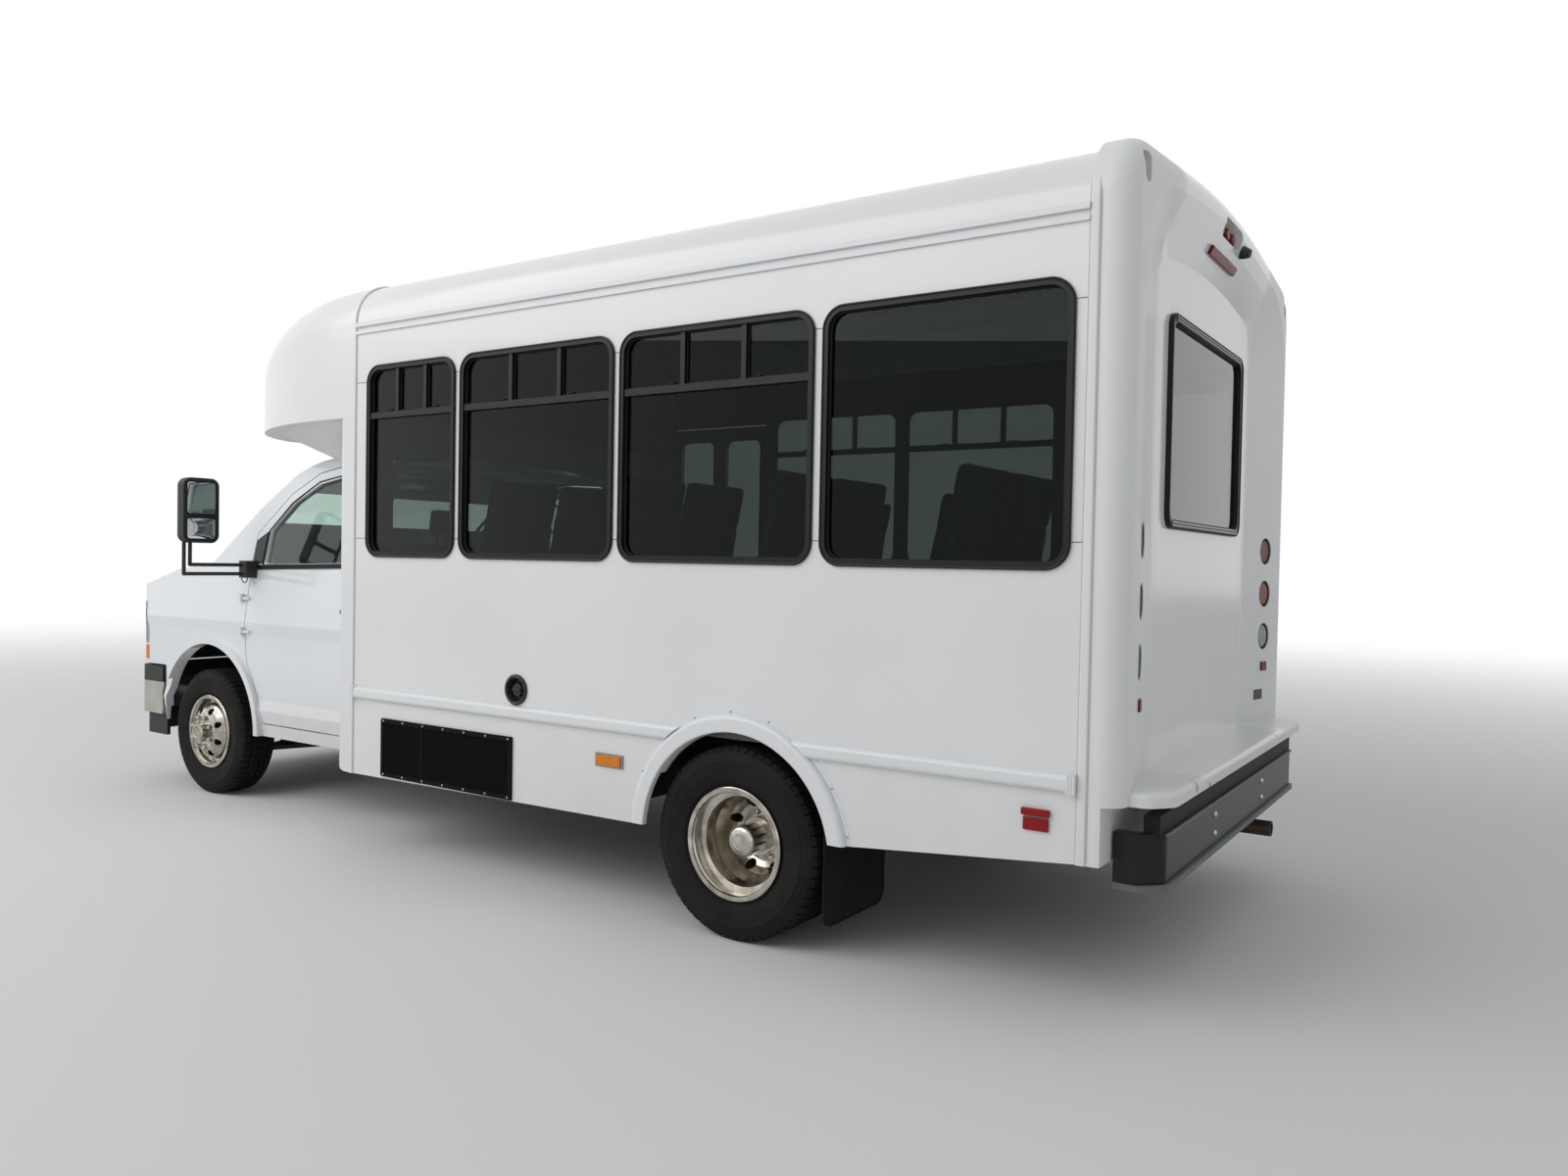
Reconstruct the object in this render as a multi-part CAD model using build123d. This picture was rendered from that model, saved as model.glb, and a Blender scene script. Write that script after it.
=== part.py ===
from build123d import *
import math
import os

os.makedirs("parts", exist_ok=True)

# A cutaway shuttle bus. All sizes are in millimetres. Sizes along x are counted
# from the front axle, rearward positive; y is the vehicle's right; z is up from
# the ground. The finished pieces are moved so that x = 0 is the middle of the length.
wheelbase = 4039.0
front_overhang = 851.0
rear_overhang = 1586.0
overall_length = front_overhang + wheelbase + rear_overhang
front_axle_x = -overall_length / 2 + front_overhang

# Gaps: seated faces, glass in its frame, moving pieces and the wheel bearing.
seat_gap = 0.3
moving_gap = 6.0
bearing_gap = 0.06
hinge_pin_radius = 4.0
hinge_barrel_radius = 8.0

# Wheels and tyres.
tyre_radius = 368.0
tyre_width = 225.0
tyre_shoulder = 22.0
tyre_bead_radius = 206.0
hub_height = tyre_radius
bead_gap = 0.8
rim_width = 178.0
rim_wall = 7.2
flange_height = 10.5
well_depth = 25.2
disc_wall = 16.0
hub_bore = 60.0
hub_barrel = 74.0
hub_cap = 56.0
front_track = 1737.0
dual_track = 1943.0
dual_spacing = 262.0
stud_count = 8
hand_hole_radius = 19.0
hand_hole_circle = 262.0
spindle_radius = 38.0
kingpin_y = 742.0

# Coach body.
half_width = 1219.2
wall = 40.0
side_front = 1742.0
side_rear = 5366.0
crown_height = 2845.0
crown_rise = 100.0
cove_corner_height = crown_height - crown_rise
cove_radius = 205.0
crown_radius = 6000.0
gutter_height = cove_corner_height - 193.0
bead_proud = 8.0
bead_width = 30.0
bead_round = 6.0
skirt_front_height = 365.0
skirt_rear_height = 440.0
skirt_tail_height = 515.0
floor_top = 820.0
floor_thick = 60.0
arch_centre_x = 4055.0
arch_centre_z = 365.0
arch_radius = 430.0
flare_radius = 497.0
flare_proud = 26.0
rail_low = 736.0
rail_high = 793.0
rail_proud = 25.0
filler_x = 2880.0
filler_z = 862.0
filler_flange = 66.0
filler_hole = 58.0
filler_mouth = 52.0

# Windows: front and rear edge of each black frame.
window_low = 1422.0
window_high = 2337.0
window_corner = 85.0
window_split = 2097.0
window_flange = 24.0
frame_proud = 9.0
glass_thick = 6.0
window_spans = [
    dict(front=1832.0, rear=2465.0, split=True, side=-1),
    dict(front=2498.0, rear=3423.0, split=True, side=-1),
    dict(front=3453.0, rear=4377.0, split=True, side=-1),
    dict(front=4410.0, rear=5328.0, split=False, side=-1),
    dict(front=2530.0, rear=3423.0, split=True, side=1),
    dict(front=3453.0, rear=4377.0, split=True, side=1),
    dict(front=4410.0, rear=5328.0, split=False, side=1),
]

# Rear cap.
cap_low_z = 515.0
cap_rear = side_rear + 134.0
cap_bulge = 15.0
cap_rise = 25.0
cap_rim_radius = 80.0
recess_face = side_rear + 59.0
shelf_low = 700.0
shelf_high = 745.0
shelf_rear = cap_rear + 125.0
# Recess of the rear cap, from its flat face out to beyond the rim.
recess_table = [
    dict(out=0.0, half=720.0, shoulder=335.0, crown=260.0, corner=140.0),
    dict(out=65.0, half=1050.0, shoulder=220.0, crown=140.0, corner=300.0),
    dict(out=105.0, half=1300.0, shoulder=135.0, crown=55.0, corner=480.0),
]
rear_window_half = 557.5
rear_window_low = 1579.0
rear_window_high = 2344.0
lamp_y = 964.0
lamp_heights = [1525.0, 1329.0, 1133.0]
lamp_radius = 52.0
lamp_rim = 9.0
lamp_sunk = 5.0
reflector_z = (975.0, 1015.0)
reflector_half = 26.0
# Small lamps of the brow: place, half width and half height of each pocket.
brow_lamps = [
    dict(y=(-1100.0,), z=2672.0, half_y=27.0, half_z=48.0, back=5452.0, radius=17.0),
    dict(y=(1100.0,), z=2672.0, half_y=27.0, half_z=48.0, back=5452.0, radius=17.0),
    dict(y=(-88.0, 0.0, 88.0), z=2738.0, half_y=140.0, half_z=34.0, back=5468.0, radius=25.0),
]
high_lamp_half = 190.0
high_lamp_size = 36.0

# Cab.
cab_half_width = 1006.0
cab_roof_half_width = 850.0
cab_wall = 46.0
belt_height = 1335.0
cab_arch_x = 40.0
cab_arch_z = 400.0
cab_arch_radius = 492.0
lip_width = 38.0
lip_proud_y = 1013.0
door_gap = 6.0

# Entry door on the right, two leaves.
entry_front = 1765.0
entry_rear = 2495.0
entry_low = 385.0
entry_high = 2290.0
leaf_thick = 38.0
leaf_hinge_y = 1228.5
door_hinge_x = 404.0
door_hinge_y = 1013.0


def block(x, y, z):
    """Box from low and high values on each axis."""
    size = (x[1] - x[0], y[1] - y[0], z[1] - z[0])
    return Pos(x[0] + size[0] / 2, y[0] + size[1] / 2, z[0] + size[2] / 2) * Box(*size)


def outline(points, radius):
    """Closed flat face; radius rounds every corner, or one value for each corner."""
    count = len(points)
    radii = list(radius) if isinstance(radius, (list, tuple)) else [radius] * count
    corners = [Vector(*point) for point in points]
    starts = []
    ends = []
    arcs = []
    for number, corner in enumerate(corners):
        back = (corners[number - 1] - corner).normalized()
        ahead = (corners[(number + 1) % count] - corner).normalized()
        if radii[number] < 0.5:
            starts.append(corner)
            ends.append(corner)
            continue
        half_angle = back.get_angle(ahead) / 2
        reach = radii[number] / math.tan(math.radians(half_angle))
        depth = radii[number] / math.sin(math.radians(half_angle)) - radii[number]
        bisector = (back + ahead).normalized()
        starts.append(corner + back * reach)
        ends.append(corner + ahead * reach)
        arcs.append(Edge.make_three_point_arc(starts[-1], corner + bisector * depth, ends[-1]))
    edges = list(arcs)
    for number in range(count):
        first, second = ends[number], starts[(number + 1) % count]
        if (second - first).length > 0.001:
            edges.append(Edge.make_line(first, second))
    return Face(Wire(edges))


def shrunk(points, radii, inset):
    """Outline moved inward by the inset (anticlockwise points) and its radii with it."""
    count = len(points)
    moved = []
    for number, point in enumerate(points):
        corner = Vector(*point)
        back = (corner - Vector(*points[number - 1])).normalized()
        ahead = (Vector(*points[(number + 1) % count]) - corner).normalized()
        normal_a = Vector(-back.Y, back.X)
        normal_b = Vector(-ahead.Y, ahead.X)
        step = (normal_a + normal_b) * (inset / (1 + normal_a.dot(normal_b)))
        moved.append((corner.X + step.X, corner.Y + step.Y))
    left = [0 if radius == 0 else max(radius - inset, 2) for radius in radii]
    return outline(moved, left)


def slab_x(face, x):
    """A flat (y, z) face made solid between two x values."""
    plane = Plane(origin=(x[0], 0, 0), x_dir=(0, 1, 0), z_dir=(1, 0, 0))
    return extrude(plane * face, amount=x[1] - x[0], dir=(1, 0, 0))


def slab_y(face, y):
    """A flat (x, z) face made solid between two y values."""
    plane = Plane(origin=(0, y[0], 0), x_dir=(1, 0, 0), z_dir=(0, -1, 0))
    return extrude(plane * face, amount=y[1] - y[0], dir=(0, 1, 0))


def slab_z(face, z):
    """A flat (x, y) face made solid between two z values."""
    plane = Plane(origin=(0, 0, z[0]), x_dir=(1, 0, 0), z_dir=(0, 0, 1))
    return extrude(plane * face, amount=z[1] - z[0], dir=(0, 0, 1))


def prism_x(points, x, radius=0):
    """Solid with a (y, z) outline, between two x values."""
    return slab_x(outline(points, radius), x)


def prism_y(points, y, radius=0):
    """Solid with an (x, z) outline, between two y values."""
    return slab_y(outline(points, radius), y)


def prism_z(points, z, radius=0):
    """Solid with an (x, y) outline, between two z values."""
    return slab_z(outline(points, radius), z)


def rod_x(radius, y, z, x):
    return Pos((x[0] + x[1]) / 2, y, z) * Rot(0, 90, 0) * Cylinder(radius, x[1] - x[0])


def rod_y(radius, x, z, y):
    return Pos(x, (y[0] + y[1]) / 2, z) * Rot(90, 0, 0) * Cylinder(radius, y[1] - y[0])


def rod_z(radius, x, y, z):
    return Pos(x, y, (z[0] + z[1]) / 2) * Cylinder(radius, z[1] - z[0])


def rectangle(a, b, inset=0.0):
    """Four corners of a rectangle given its two spans."""
    return [
        (a[0] + inset, b[0] + inset),
        (a[1] - inset, b[0] + inset),
        (a[1] - inset, b[1] - inset),
        (a[0] + inset, b[1] - inset),
    ]


def span(side, near, far):
    """Low and high y of a band on the left (side -1) or right (side 1)."""
    return (near, far) if side > 0 else (-far, -near)


def barrels(px, py, lows, fixed_x, moving_x, plate_y):
    """Hinge barrels on an upright axis: fixed knuckles with their pin, moving knuckle.

    A third moving x value lets the moving plate stand clear of the skin near the pin.
    """
    fixed = []
    moving = []
    across = moving_x if len(moving_x) == 2 else (moving_x[0], moving_x[2])
    outer_y = tuple(sorted((max(plate_y, key=abs), math.copysign(abs(py) - 7, py))))
    for low in lows:
        pin = rod_z(hinge_pin_radius, px, py, (low, low + 46))
        pin += rod_z(hinge_barrel_radius, px, py, (low, low + 15))
        pin += rod_z(hinge_barrel_radius, px, py, (low + 31, low + 46))
        pin += block(fixed_x, plate_y, (low, low + 15)) + block(fixed_x, plate_y, (low + 31, low + 46))
        knuckle = rod_z(hinge_barrel_radius, px, py, (low + 15.5, low + 30.5))
        knuckle += block(across, outer_y, (low + 15.5, low + 30.5))
        knuckle += block(moving_x[-2:], plate_y, (low + 15.5, low + 30.5))
        knuckle -= rod_z(hinge_pin_radius + bearing_gap, px, py, (low, low + 46))
        fixed.append(pin)
        moving.append(knuckle)
    return fixed, moving


def mirror_y(shape):
    return mirror(shape, about=Plane.XZ)


def save(name, shape):
    """One piece, moved to the shared frame and written to its own file."""
    pieces = [solid.moved(Location((front_axle_x, 0, 0))) for solid in shape.solids()]
    whole = pieces[0] if len(pieces) == 1 else Compound(children=pieces)
    export_step(whole, "parts/" + name + ".step")


def turned(points, x, y, z):
    """Solid turned about an axle along y; points are (distance outboard, radius)."""
    face = make_face(Polyline(*[(a, r) for a, r in points], close=True))
    solid = revolve(face, axis=Axis.X)
    return Pos(x, y, z) * Rot(0, 0, 90) * solid


def tyre(x, y):
    """Tyre about an axle at (x, hub height), centred on y."""
    half = tyre_width / 2
    bead = rim_width / 2
    with BuildSketch() as section:
        with BuildLine():
            a = (-bead, tyre_bead_radius + 12)
            b = (-half, (tyre_bead_radius + tyre_radius) / 2)
            c = (-half + tyre_shoulder * 0.6, tyre_radius - tyre_shoulder)
            d = (-half + tyre_shoulder * 1.6, tyre_radius)
            ThreePointArc(a, b, c)
            Line(c, d)
            Line(d, (-d[0], d[1]))
            Line((-d[0], d[1]), (-c[0], c[1]))
            ThreePointArc((-c[0], c[1]), (-b[0], b[1]), (-a[0], a[1]))
            Line((-a[0], a[1]), (bead - 14, tyre_bead_radius))
            Line((bead - 14, tyre_bead_radius), (-bead + 14, tyre_bead_radius))
            Line((-bead + 14, tyre_bead_radius), a)
        make_face()
    solid = revolve(section.sketch, axis=Axis.X)
    return Pos(x, y, hub_height) * Rot(0, 0, 90) * solid


def wheel(x, y, side, hub_in, hub_out):
    """Rim with a coned disc; side points the way the cone rises from the rim."""
    cone = dual_spacing / 2
    seat = tyre_bead_radius - bead_gap
    flange = tyre_bead_radius + flange_height
    edge = rim_width / 2 + 8
    inner = seat - rim_wall
    well = seat - well_depth
    bottom = well - rim_wall
    profile = [
        (-edge, flange), (1 - rim_width / 2, flange), (-75.6, seat), (-45, seat), (-35, well),
        (35, well), (45, seat), (75.6, seat), (rim_width / 2 + 1, flange), (edge, flange),
        (edge, inner + 11), (80, inner), (50, inner), (42, bottom), (88, 162), (118, 138),
        (cone, 106), (cone, hub_bore), (cone - disc_wall, hub_bore), (cone - disc_wall, 98),
        (100, 128), (70, 150), (20, bottom), (-42, bottom), (-50, inner), (-80, inner), (-edge, inner + 11),
    ]
    shape = turned([(side * a, r) for a, r in profile], x, y, hub_height)
    if side > 0:
        low, high = y + hub_in, y + hub_out
    else:
        low, high = y - hub_out, y - hub_in
    return shape + rod_y(hub_barrel, x, hub_height, (low, high))


def hand_holes(x, y_low, y_high, turn):
    holes = []
    for number in range(stud_count):
        angle = math.radians(360 / stud_count * number + turn)
        px = x + hand_hole_circle / 2 * math.cos(angle)
        pz = hub_height + hand_hole_circle / 2 * math.sin(angle)
        holes.append(rod_y(hand_hole_radius, px, pz, (y_low, y_high)))
    return holes


def rod_between(radius, a, b):
    """Round bar from one point to another."""
    start, end = Vector(*a), Vector(*b)
    way = end - start
    plane = Plane(origin=start, z_dir=way)
    return extrude(plane * Circle(radius), amount=way.length)


# Front wheels, knuckles and suspension.
rail_low_z = 500.0
front_y = front_track / 2
front_rim = wheel(0, front_y, 1, -40, 131)
front_rim += rod_y(hub_cap, 0, hub_height, (front_y + dual_spacing / 2 - 1, front_y + 168))
front_rim -= rod_y(spindle_radius + bearing_gap, 0, hub_height, (front_y - 60, front_y + 98))
for hole in hand_holes(0, front_y + 10, front_y + 140, 22.5):
    front_rim -= hole
front_tyre = tyre(0, front_y)
# Knuckle: upright with the spindle and steering arm, turning on two short pins.
upright_half = 44.0
knuckle_z = (246.0, 469.0)
pin_radius = 14.0
pin_length = 30.0
upright = block((-upright_half, upright_half), (kingpin_y - 28, kingpin_y + 20), knuckle_z)
spindle = rod_y(spindle_radius, 0, hub_height, (kingpin_y + 8, front_y + 95))
steering_arm = block((30, 190), (kingpin_y - 42, kingpin_y - 18), (300, 330))
knuckle = upright + spindle + steering_arm
for low, high in ((knuckle_z[0], knuckle_z[0] + pin_length), (knuckle_z[1] - pin_length, knuckle_z[1])):
    knuckle -= rod_z(pin_radius + bearing_gap, 0, kingpin_y, (low, high))
# Wishbones below and above the knuckle: plan points, height span and the span of the pin.
arm_table = [
    dict(root_x=150, root_y=330, knee_y=600, half=48, plate=(214, 240), pin=(230, knuckle_z[0] + 28)),
    dict(root_x=110, root_y=430, knee_y=620, half=40, plate=(475, 497), pin=(knuckle_z[1] - 28, 480)),
]
tower = block((-100, 100), (300, 450), (214, rail_low_z - seat_gap))
side_arms = tower
for row in arm_table:
    end_y = kingpin_y + 24
    plan = [(-row["root_x"], row["root_y"]), (row["root_x"], row["root_y"]), (row["half"], row["knee_y"]),
            (row["half"], end_y), (-row["half"], end_y), (-row["half"], row["knee_y"])]
    side_arms += prism_z(plan, row["plate"]) + rod_z(pin_radius, 0, kingpin_y, row["pin"])
suspension = block((-90, 90), (-320, 320), (300, 420)) + side_arms + mirror_y(side_arms)

save("front_rim_right", front_rim)
save("front_rim_left", mirror_y(front_rim))
save("front_tyre_right", front_tyre)
save("front_tyre_left", mirror_y(front_tyre))
save("knuckle_right", knuckle)
save("knuckle_left", mirror_y(knuckle))
save("front_suspension", suspension)

# Rear dual wheels, axle and springs.
outer_y = dual_track / 2 + dual_spacing / 2
inner_y = dual_track / 2 - dual_spacing / 2
rear_rim = wheel(wheelbase, outer_y, -1, 60, 131) + wheel(wheelbase, inner_y, 1, 60, 131)
rear_rim += rod_y(60, wheelbase, hub_height, (900, 1150))
rear_rim -= rod_y(spindle_radius + bearing_gap, wheelbase, hub_height, (600, 1082))
for hole in hand_holes(wheelbase, 900, 1080, 22.5):
    rear_rim -= hole
rear_tyres = tyre(wheelbase, outer_y).solids() + tyre(wheelbase, inner_y).solids()
rear_tyres = Compound(children=list(rear_tyres))
axle_radius = 52.0
axle = rod_y(axle_radius, wheelbase, hub_height, (-700, 700))
axle += rod_y(spindle_radius, wheelbase, hub_height, (-1080, 1080))
axle += rod_y(150, wheelbase, hub_height, (-95, 95))
axle += rod_x(60, 0, hub_height, (wheelbase - 230, wheelbase))
save("rear_rims_right", rear_rim)
save("rear_rims_left", mirror_y(rear_rim))
save("rear_tyres_right", rear_tyres)
save("rear_tyres_left", mirror_y(rear_tyres))
save("rear_axle", axle)

spring_y = (600, 668)
spring_reach = (709.0, 711.0)
spring_thick = 22.0
spring_sag = 60.0
spring_end_z = 500.0
arc_front = wheelbase - spring_reach[0]
arc_rear = wheelbase + spring_reach[1]
flat_low = spring_end_z - spring_sag
spring = prism_y(
    [(arc_front, spring_end_z), (3700, flat_low), (4379, flat_low), (arc_rear, spring_end_z),
     (arc_rear, spring_end_z - spring_thick), (4379, flat_low - spring_thick),
     (3700, flat_low - spring_thick), (arc_front, spring_end_z - spring_thick)], spring_y
)
spring += block((3900, 4180), spring_y, (400, 470))
spring -= rod_y(axle_radius + seat_gap, wheelbase, hub_height, (500, 720))
springs = spring.solids()
for x in (arc_front, arc_rear):
    hanger = block((x - 30, x + 30), (435.3, 690), (470, 620))
    hanger -= block((x - 40, x + 40), (spring_y[0] - seat_gap, spring_y[1] + seat_gap),
                    (464, spring_end_z + seat_gap))
    springs += hanger.solids()
springs += [mirror_y(solid) for solid in springs]
save("leaf_springs", Compound(children=springs))

# Chassis: two channel rails, the crossmembers between them and the lifting pads.
rail_web = 8.0
rail_y = (365.0, 435.0)
rail_z = (rail_low_z, 660.0)
rail_x = (-640.0, 5440.0)
hitch_x = (5180.0, 5260.0)
hitch_z = (550.0, 610.0)
hitch_hole_radius = 8.5
pad_x = (3370.0, 3470.0)
pad_y = (370.0, 430.0)
pad_height = 12.0
cross_width = 70.0
cross_z = (530.0, 630.0)
cross_x = [-640.0, 1000.0, 2200.0, 3100.0, 4500.0, 5290.0]
rail = block(rail_x, rail_y, rail_z)
rail -= block((-700, 5500), (300, rail_y[1] - rail_web), (rail_z[0] + rail_web, rail_z[1] - rail_web))
rail += block(pad_x, pad_y, (rail_z[0] - pad_height, rail_z[0] + 1))
for x in hitch_x:
    for z in hitch_z:
        rail -= rod_y(hitch_hole_radius, x, z, (300, 500))
chassis = rail.solids() + mirror_y(rail).solids()
cross_y = rail_y[1] - rail_web - seat_gap
for x in cross_x:
    chassis += block((x, x + cross_width), (-cross_y, cross_y), cross_z).solids()
save("chassis_frame", Compound(children=chassis))

# Engine with gearbox, propeller shaft, tank and exhaust.
engine = block((-520, 250), (-310, 310), (505, 1120))
gearbox_end = 900.0
gearbox = block((250, gearbox_end), (-170, 170), (430, 662))
save("engine_block", engine + gearbox)
shaft_end = (wheelbase - 232, 0, hub_height + 5)
save("prop_shaft", rod_between(40, (gearbox_end + 2, 0, 475), shaft_end))
tank = block((2350, 3300), (-900, -470), (380, 655))
save("fuel_tank", fillet(tank.edges().filter_by(Axis.X), 60))
pipe_radius = 30.0
pipe_wall = 7.0
tip_radius = 34.0
tip_x = (5440.0, 5580.0)
tip_y = 700.0
tip_z = 300.0
pipe_y = 505.0
pipe_z = 430.0
over_axle_z = 480.0
pipe_points = [
    (700, 165, 480), (1150, pipe_y, pipe_z), (3500, pipe_y, pipe_z), (3800, pipe_y, over_axle_z),
    (4420, pipe_y, over_axle_z), (5100, tip_y, tip_z), (tip_x[0] + 10, tip_y, tip_z),
]
exhaust = rod_x(62, pipe_y, pipe_z, (2500, 3250))
for first, second in zip(pipe_points, pipe_points[1:]):
    exhaust += rod_between(pipe_radius, first, second)
for x, y, z in pipe_points[1:-1]:
    exhaust += Pos(x, y, z) * Sphere(pipe_radius)
exhaust += rod_x(tip_radius, tip_y, tip_z, tip_x)
exhaust -= rod_x(tip_radius - pipe_wall, tip_y, tip_z, (5380, 5600))
exhaust -= block((240, gearbox_end + seat_gap), (-310, 170.3), (420, 760))
save("exhaust", exhaust)

# Coach body.
def roof_outline(inset, low):
    """Closed (y, z) outline of the roof section from the low line upward."""
    side = half_width - inset
    shift = inset * 1.04
    return [
        (side, low), (side, cove_corner_height - inset), (0, crown_height - shift),
        (-side, cove_corner_height - inset), (-side, low),
    ]


def roof_section(inset, low, x):
    radii = [0, cove_radius - inset, crown_radius, cove_radius - inset, 0]
    return prism_x(roof_outline(inset, low), x, radii)


def seam_bead(low, x):
    """Rounded rib that stands proud of the roof section where two panels meet."""
    rib = roof_section(-bead_proud, low, x)
    rim = [
        edge for edge in rib.edges()
        if edge.bounding_box().size.X < 1 and edge.bounding_box().max.Z > low + 1
    ]
    return fillet(rim, bead_round) - roof_section(4, low - 10, (x[0] - 5, x[1] + 5))


def arched(x, y, z, corner):
    return prism_y(rectangle(x, z), y, corner)


roof_low = gutter_height + seat_gap
roof = roof_section(0, roof_low, (side_front + seat_gap, side_rear))
roof -= roof_section(wall, roof_low - 10, (side_front - 10, side_rear + 10))
save("roof", roof)

wall_y = (half_width - wall, half_width)
side_panel = prism_y(
    [(side_front, skirt_front_height), (3600, skirt_front_height + 18), (3600, 600),
     (4510, 600), (4510, skirt_rear_height), (side_rear, skirt_tail_height),
     (side_rear, gutter_height), (side_front, gutter_height)],
    wall_y,
)
side_panel -= rod_y(arch_radius, arch_centre_x, arch_centre_z, (1100, 1300))
left_wall = mirror_y(side_panel)
right_wall = side_panel
frames = []
panes = []
hole_inset = 16.0
for spot in window_spans:
    side = spot["side"]
    across = (spot["front"], spot["rear"])
    tall = (window_low, window_high)
    hole = arched(across, span(side, 1150, 1250), tall, window_corner)
    grown = rectangle(across, tall, hole_inset)
    cutter = prism_y(grown, span(side, 1150, 1250), window_corner - hole_inset)
    if side < 0:
        left_wall -= cutter
    else:
        right_wall -= cutter
    skin = half_width + seat_gap
    flange = arched(across, span(side, skin, skin + frame_proud), tall, window_corner)
    sleeve = prism_y(
        rectangle(across, tall, hole_inset + seat_gap), span(side, 1190, skin + 1),
        window_corner - hole_inset,
    )
    inner = prism_y(
        rectangle(across, tall, window_flange), span(side, 1150, 1250),
        window_corner - window_flange,
    )
    frame = flange + sleeve - inner
    if spot["split"]:
        long = across[1] - across[0]
        frame += block(
            (across[0] + 20, across[1] - 20), span(side, 1205, 1224),
            (window_split - 14, window_split + 14),
        )
        for share in (0.345, 0.66):
            at = across[0] + share * long
            frame += block((at - 11, at + 11), span(side, 1205, 1221),
                           (window_split, window_high - 20))
    frames.append(frame)
    pane = prism_y(
        rectangle(across, tall, window_flange + seat_gap),
        span(side, 1204.7 - glass_thick, 1204.7), window_corner - window_flange,
    )
    panes.append(pane)
left_wall -= rod_y(filler_hole, filler_x, filler_z, span(-1, 1150, 1250))
door_hole = block((entry_front, entry_rear), (1150, 1250), (300, entry_high))
right_wall -= door_hole
leaf_pins = {}
for name, px, way in (
    ("front", entry_front + moving_gap, -1),
    ("rear", entry_rear - moving_gap, 1),
):
    fixed_x = tuple(sorted((px, px + way * 26)))
    moving_x = tuple(sorted((px, px - way * 40)))
    leaf_y_plate = (half_width - 3, half_width + 6)
    pins, knuckles = barrels(
        px, leaf_hinge_y, (520, 1300, 2080), fixed_x, moving_x, leaf_y_plate
    )
    leaf_pins[name] = knuckles
    for pin in pins:
        right_wall += pin
save("side_walls", Compound(children=left_wall.solids() + right_wall.solids()))

front_wall = block((1600.3, 1641), (-1179, 1179), (380, 2099.7))
front_wall -= block((1590, 1650), (-925, 925), (floor_top - floor_thick - 1, 1960))
front_wall -= block((1590, 1650), (-560, 560), (300, 700))
post_x = (1600.3, side_front - seat_gap)
post = prism_y(rectangle(post_x, (skirt_front_height, 2099.7)), (1100, half_width), [75, 0, 0, 0])
post &= prism_z(rectangle(post_x, (1100, half_width)), (300, 2200), [0, 0, 0, 45])
post -= block((1641, 1800), (1000, half_width - wall), (300, 2200))
bead_x = (side_front - seat_gap - bead_width, side_front - seat_gap)
post += fillet(
    block(bead_x, (half_width - 4, half_width + bead_proud), (skirt_front_height, 2099.7)).edges()
    .filter_by(Axis.Z).sort_by(Axis.Y)[-2:], bead_round,
)
front_wall = front_wall + post + mirror_y(post)
save("front_wall", front_wall)

floor = block((1641.3, 5366), (-1178.7, 1178.7), (floor_top - floor_thick, floor_top))
floor -= block((entry_front - 5, entry_rear + 5), (604.2, 1200), (700, 900))
for x in (1700, 2560, 3200, 3600, 4400, 5250):
    floor += block((x, x + 49.7), (-1150, 1150), (660.3, floor_top - floor_thick + 5))
save("body_floor", floor)

tread_x = (entry_front + 8, entry_rear - 8)
steps = prism_x(
    [(1165, 385), (1165, 425), (925, 425), (925, 625), (685, 625), (685, floor_top),
     (605, floor_top), (605, 780), (645, 780), (645, 585), (885, 585), (885, 385)],
    tread_x,
)
for x in (tread_x[0] - 2, tread_x[1] - 6):
    steps += block((x, x + 8), (604, 1165), (385, floor_top))
steps -= block((1700, 2600), (500, 604.5), (300, 900))
save("entry_steps", steps)

# Two leaves of the entry door.
leaf_gap = moving_gap
middle = (entry_front + entry_rear) / 2
leaf_y = (half_width - leaf_thick, half_width - 0.5)
for name, low, high in (
    ("front", entry_front + leaf_gap, middle - leaf_gap),
    ("rear", middle + leaf_gap, entry_rear - leaf_gap),
):
    leaf = block((low, high), leaf_y, (entry_low, entry_high - leaf_gap))
    pane_x = (low + 42, high - 42)
    pane_z = (560, entry_high - 90)
    leaf -= prism_y(rectangle(pane_x, pane_z), (1150, 1250), 50)
    pane = prism_y(
        rectangle(pane_x, pane_z, seat_gap), (leaf_y[0] + 14, leaf_y[0] + 22), 50
    )
    for knuckle in leaf_pins[name]:
        leaf += knuckle
    save("entry_leaf_" + name, leaf)
    save("entry_glass_" + name, pane)

# Over-cab cap: sections from the seam to the nose.
cap_low = 2100.0
cap_table = [
    dict(back=0, narrow=0, lower=0, rise=100, radius=210),
    dict(back=392, narrow=5, lower=7, rise=98, radius=220),
    dict(back=792, narrow=69, lower=73, rise=108, radius=235),
    dict(back=1122, narrow=209, lower=180, rise=115, radius=225),
    dict(back=1342, narrow=389, lower=305, rise=120, radius=170),
    dict(back=1452, narrow=569, lower=415, rise=110, radius=100),
]


def cap_body(inset, low, shift):
    faces = []
    for row in cap_table:
        half = half_width - row["narrow"] - inset
        top = cove_corner_height - row["lower"] - inset
        points = [(-half, low), (half, low), (half, top), (0, top + row["rise"]), (-half, top)]
        plane = Plane(origin=(side_front - row["back"] + shift, 0, 0), x_dir=(0, 1, 0), z_dir=(1, 0, 0))
        radii = [0, 0, row["radius"] - inset * 0.6, 2000, row["radius"] - inset * 0.6]
        faces.append(plane * outline(points, radii))
    return loft(faces)


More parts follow.
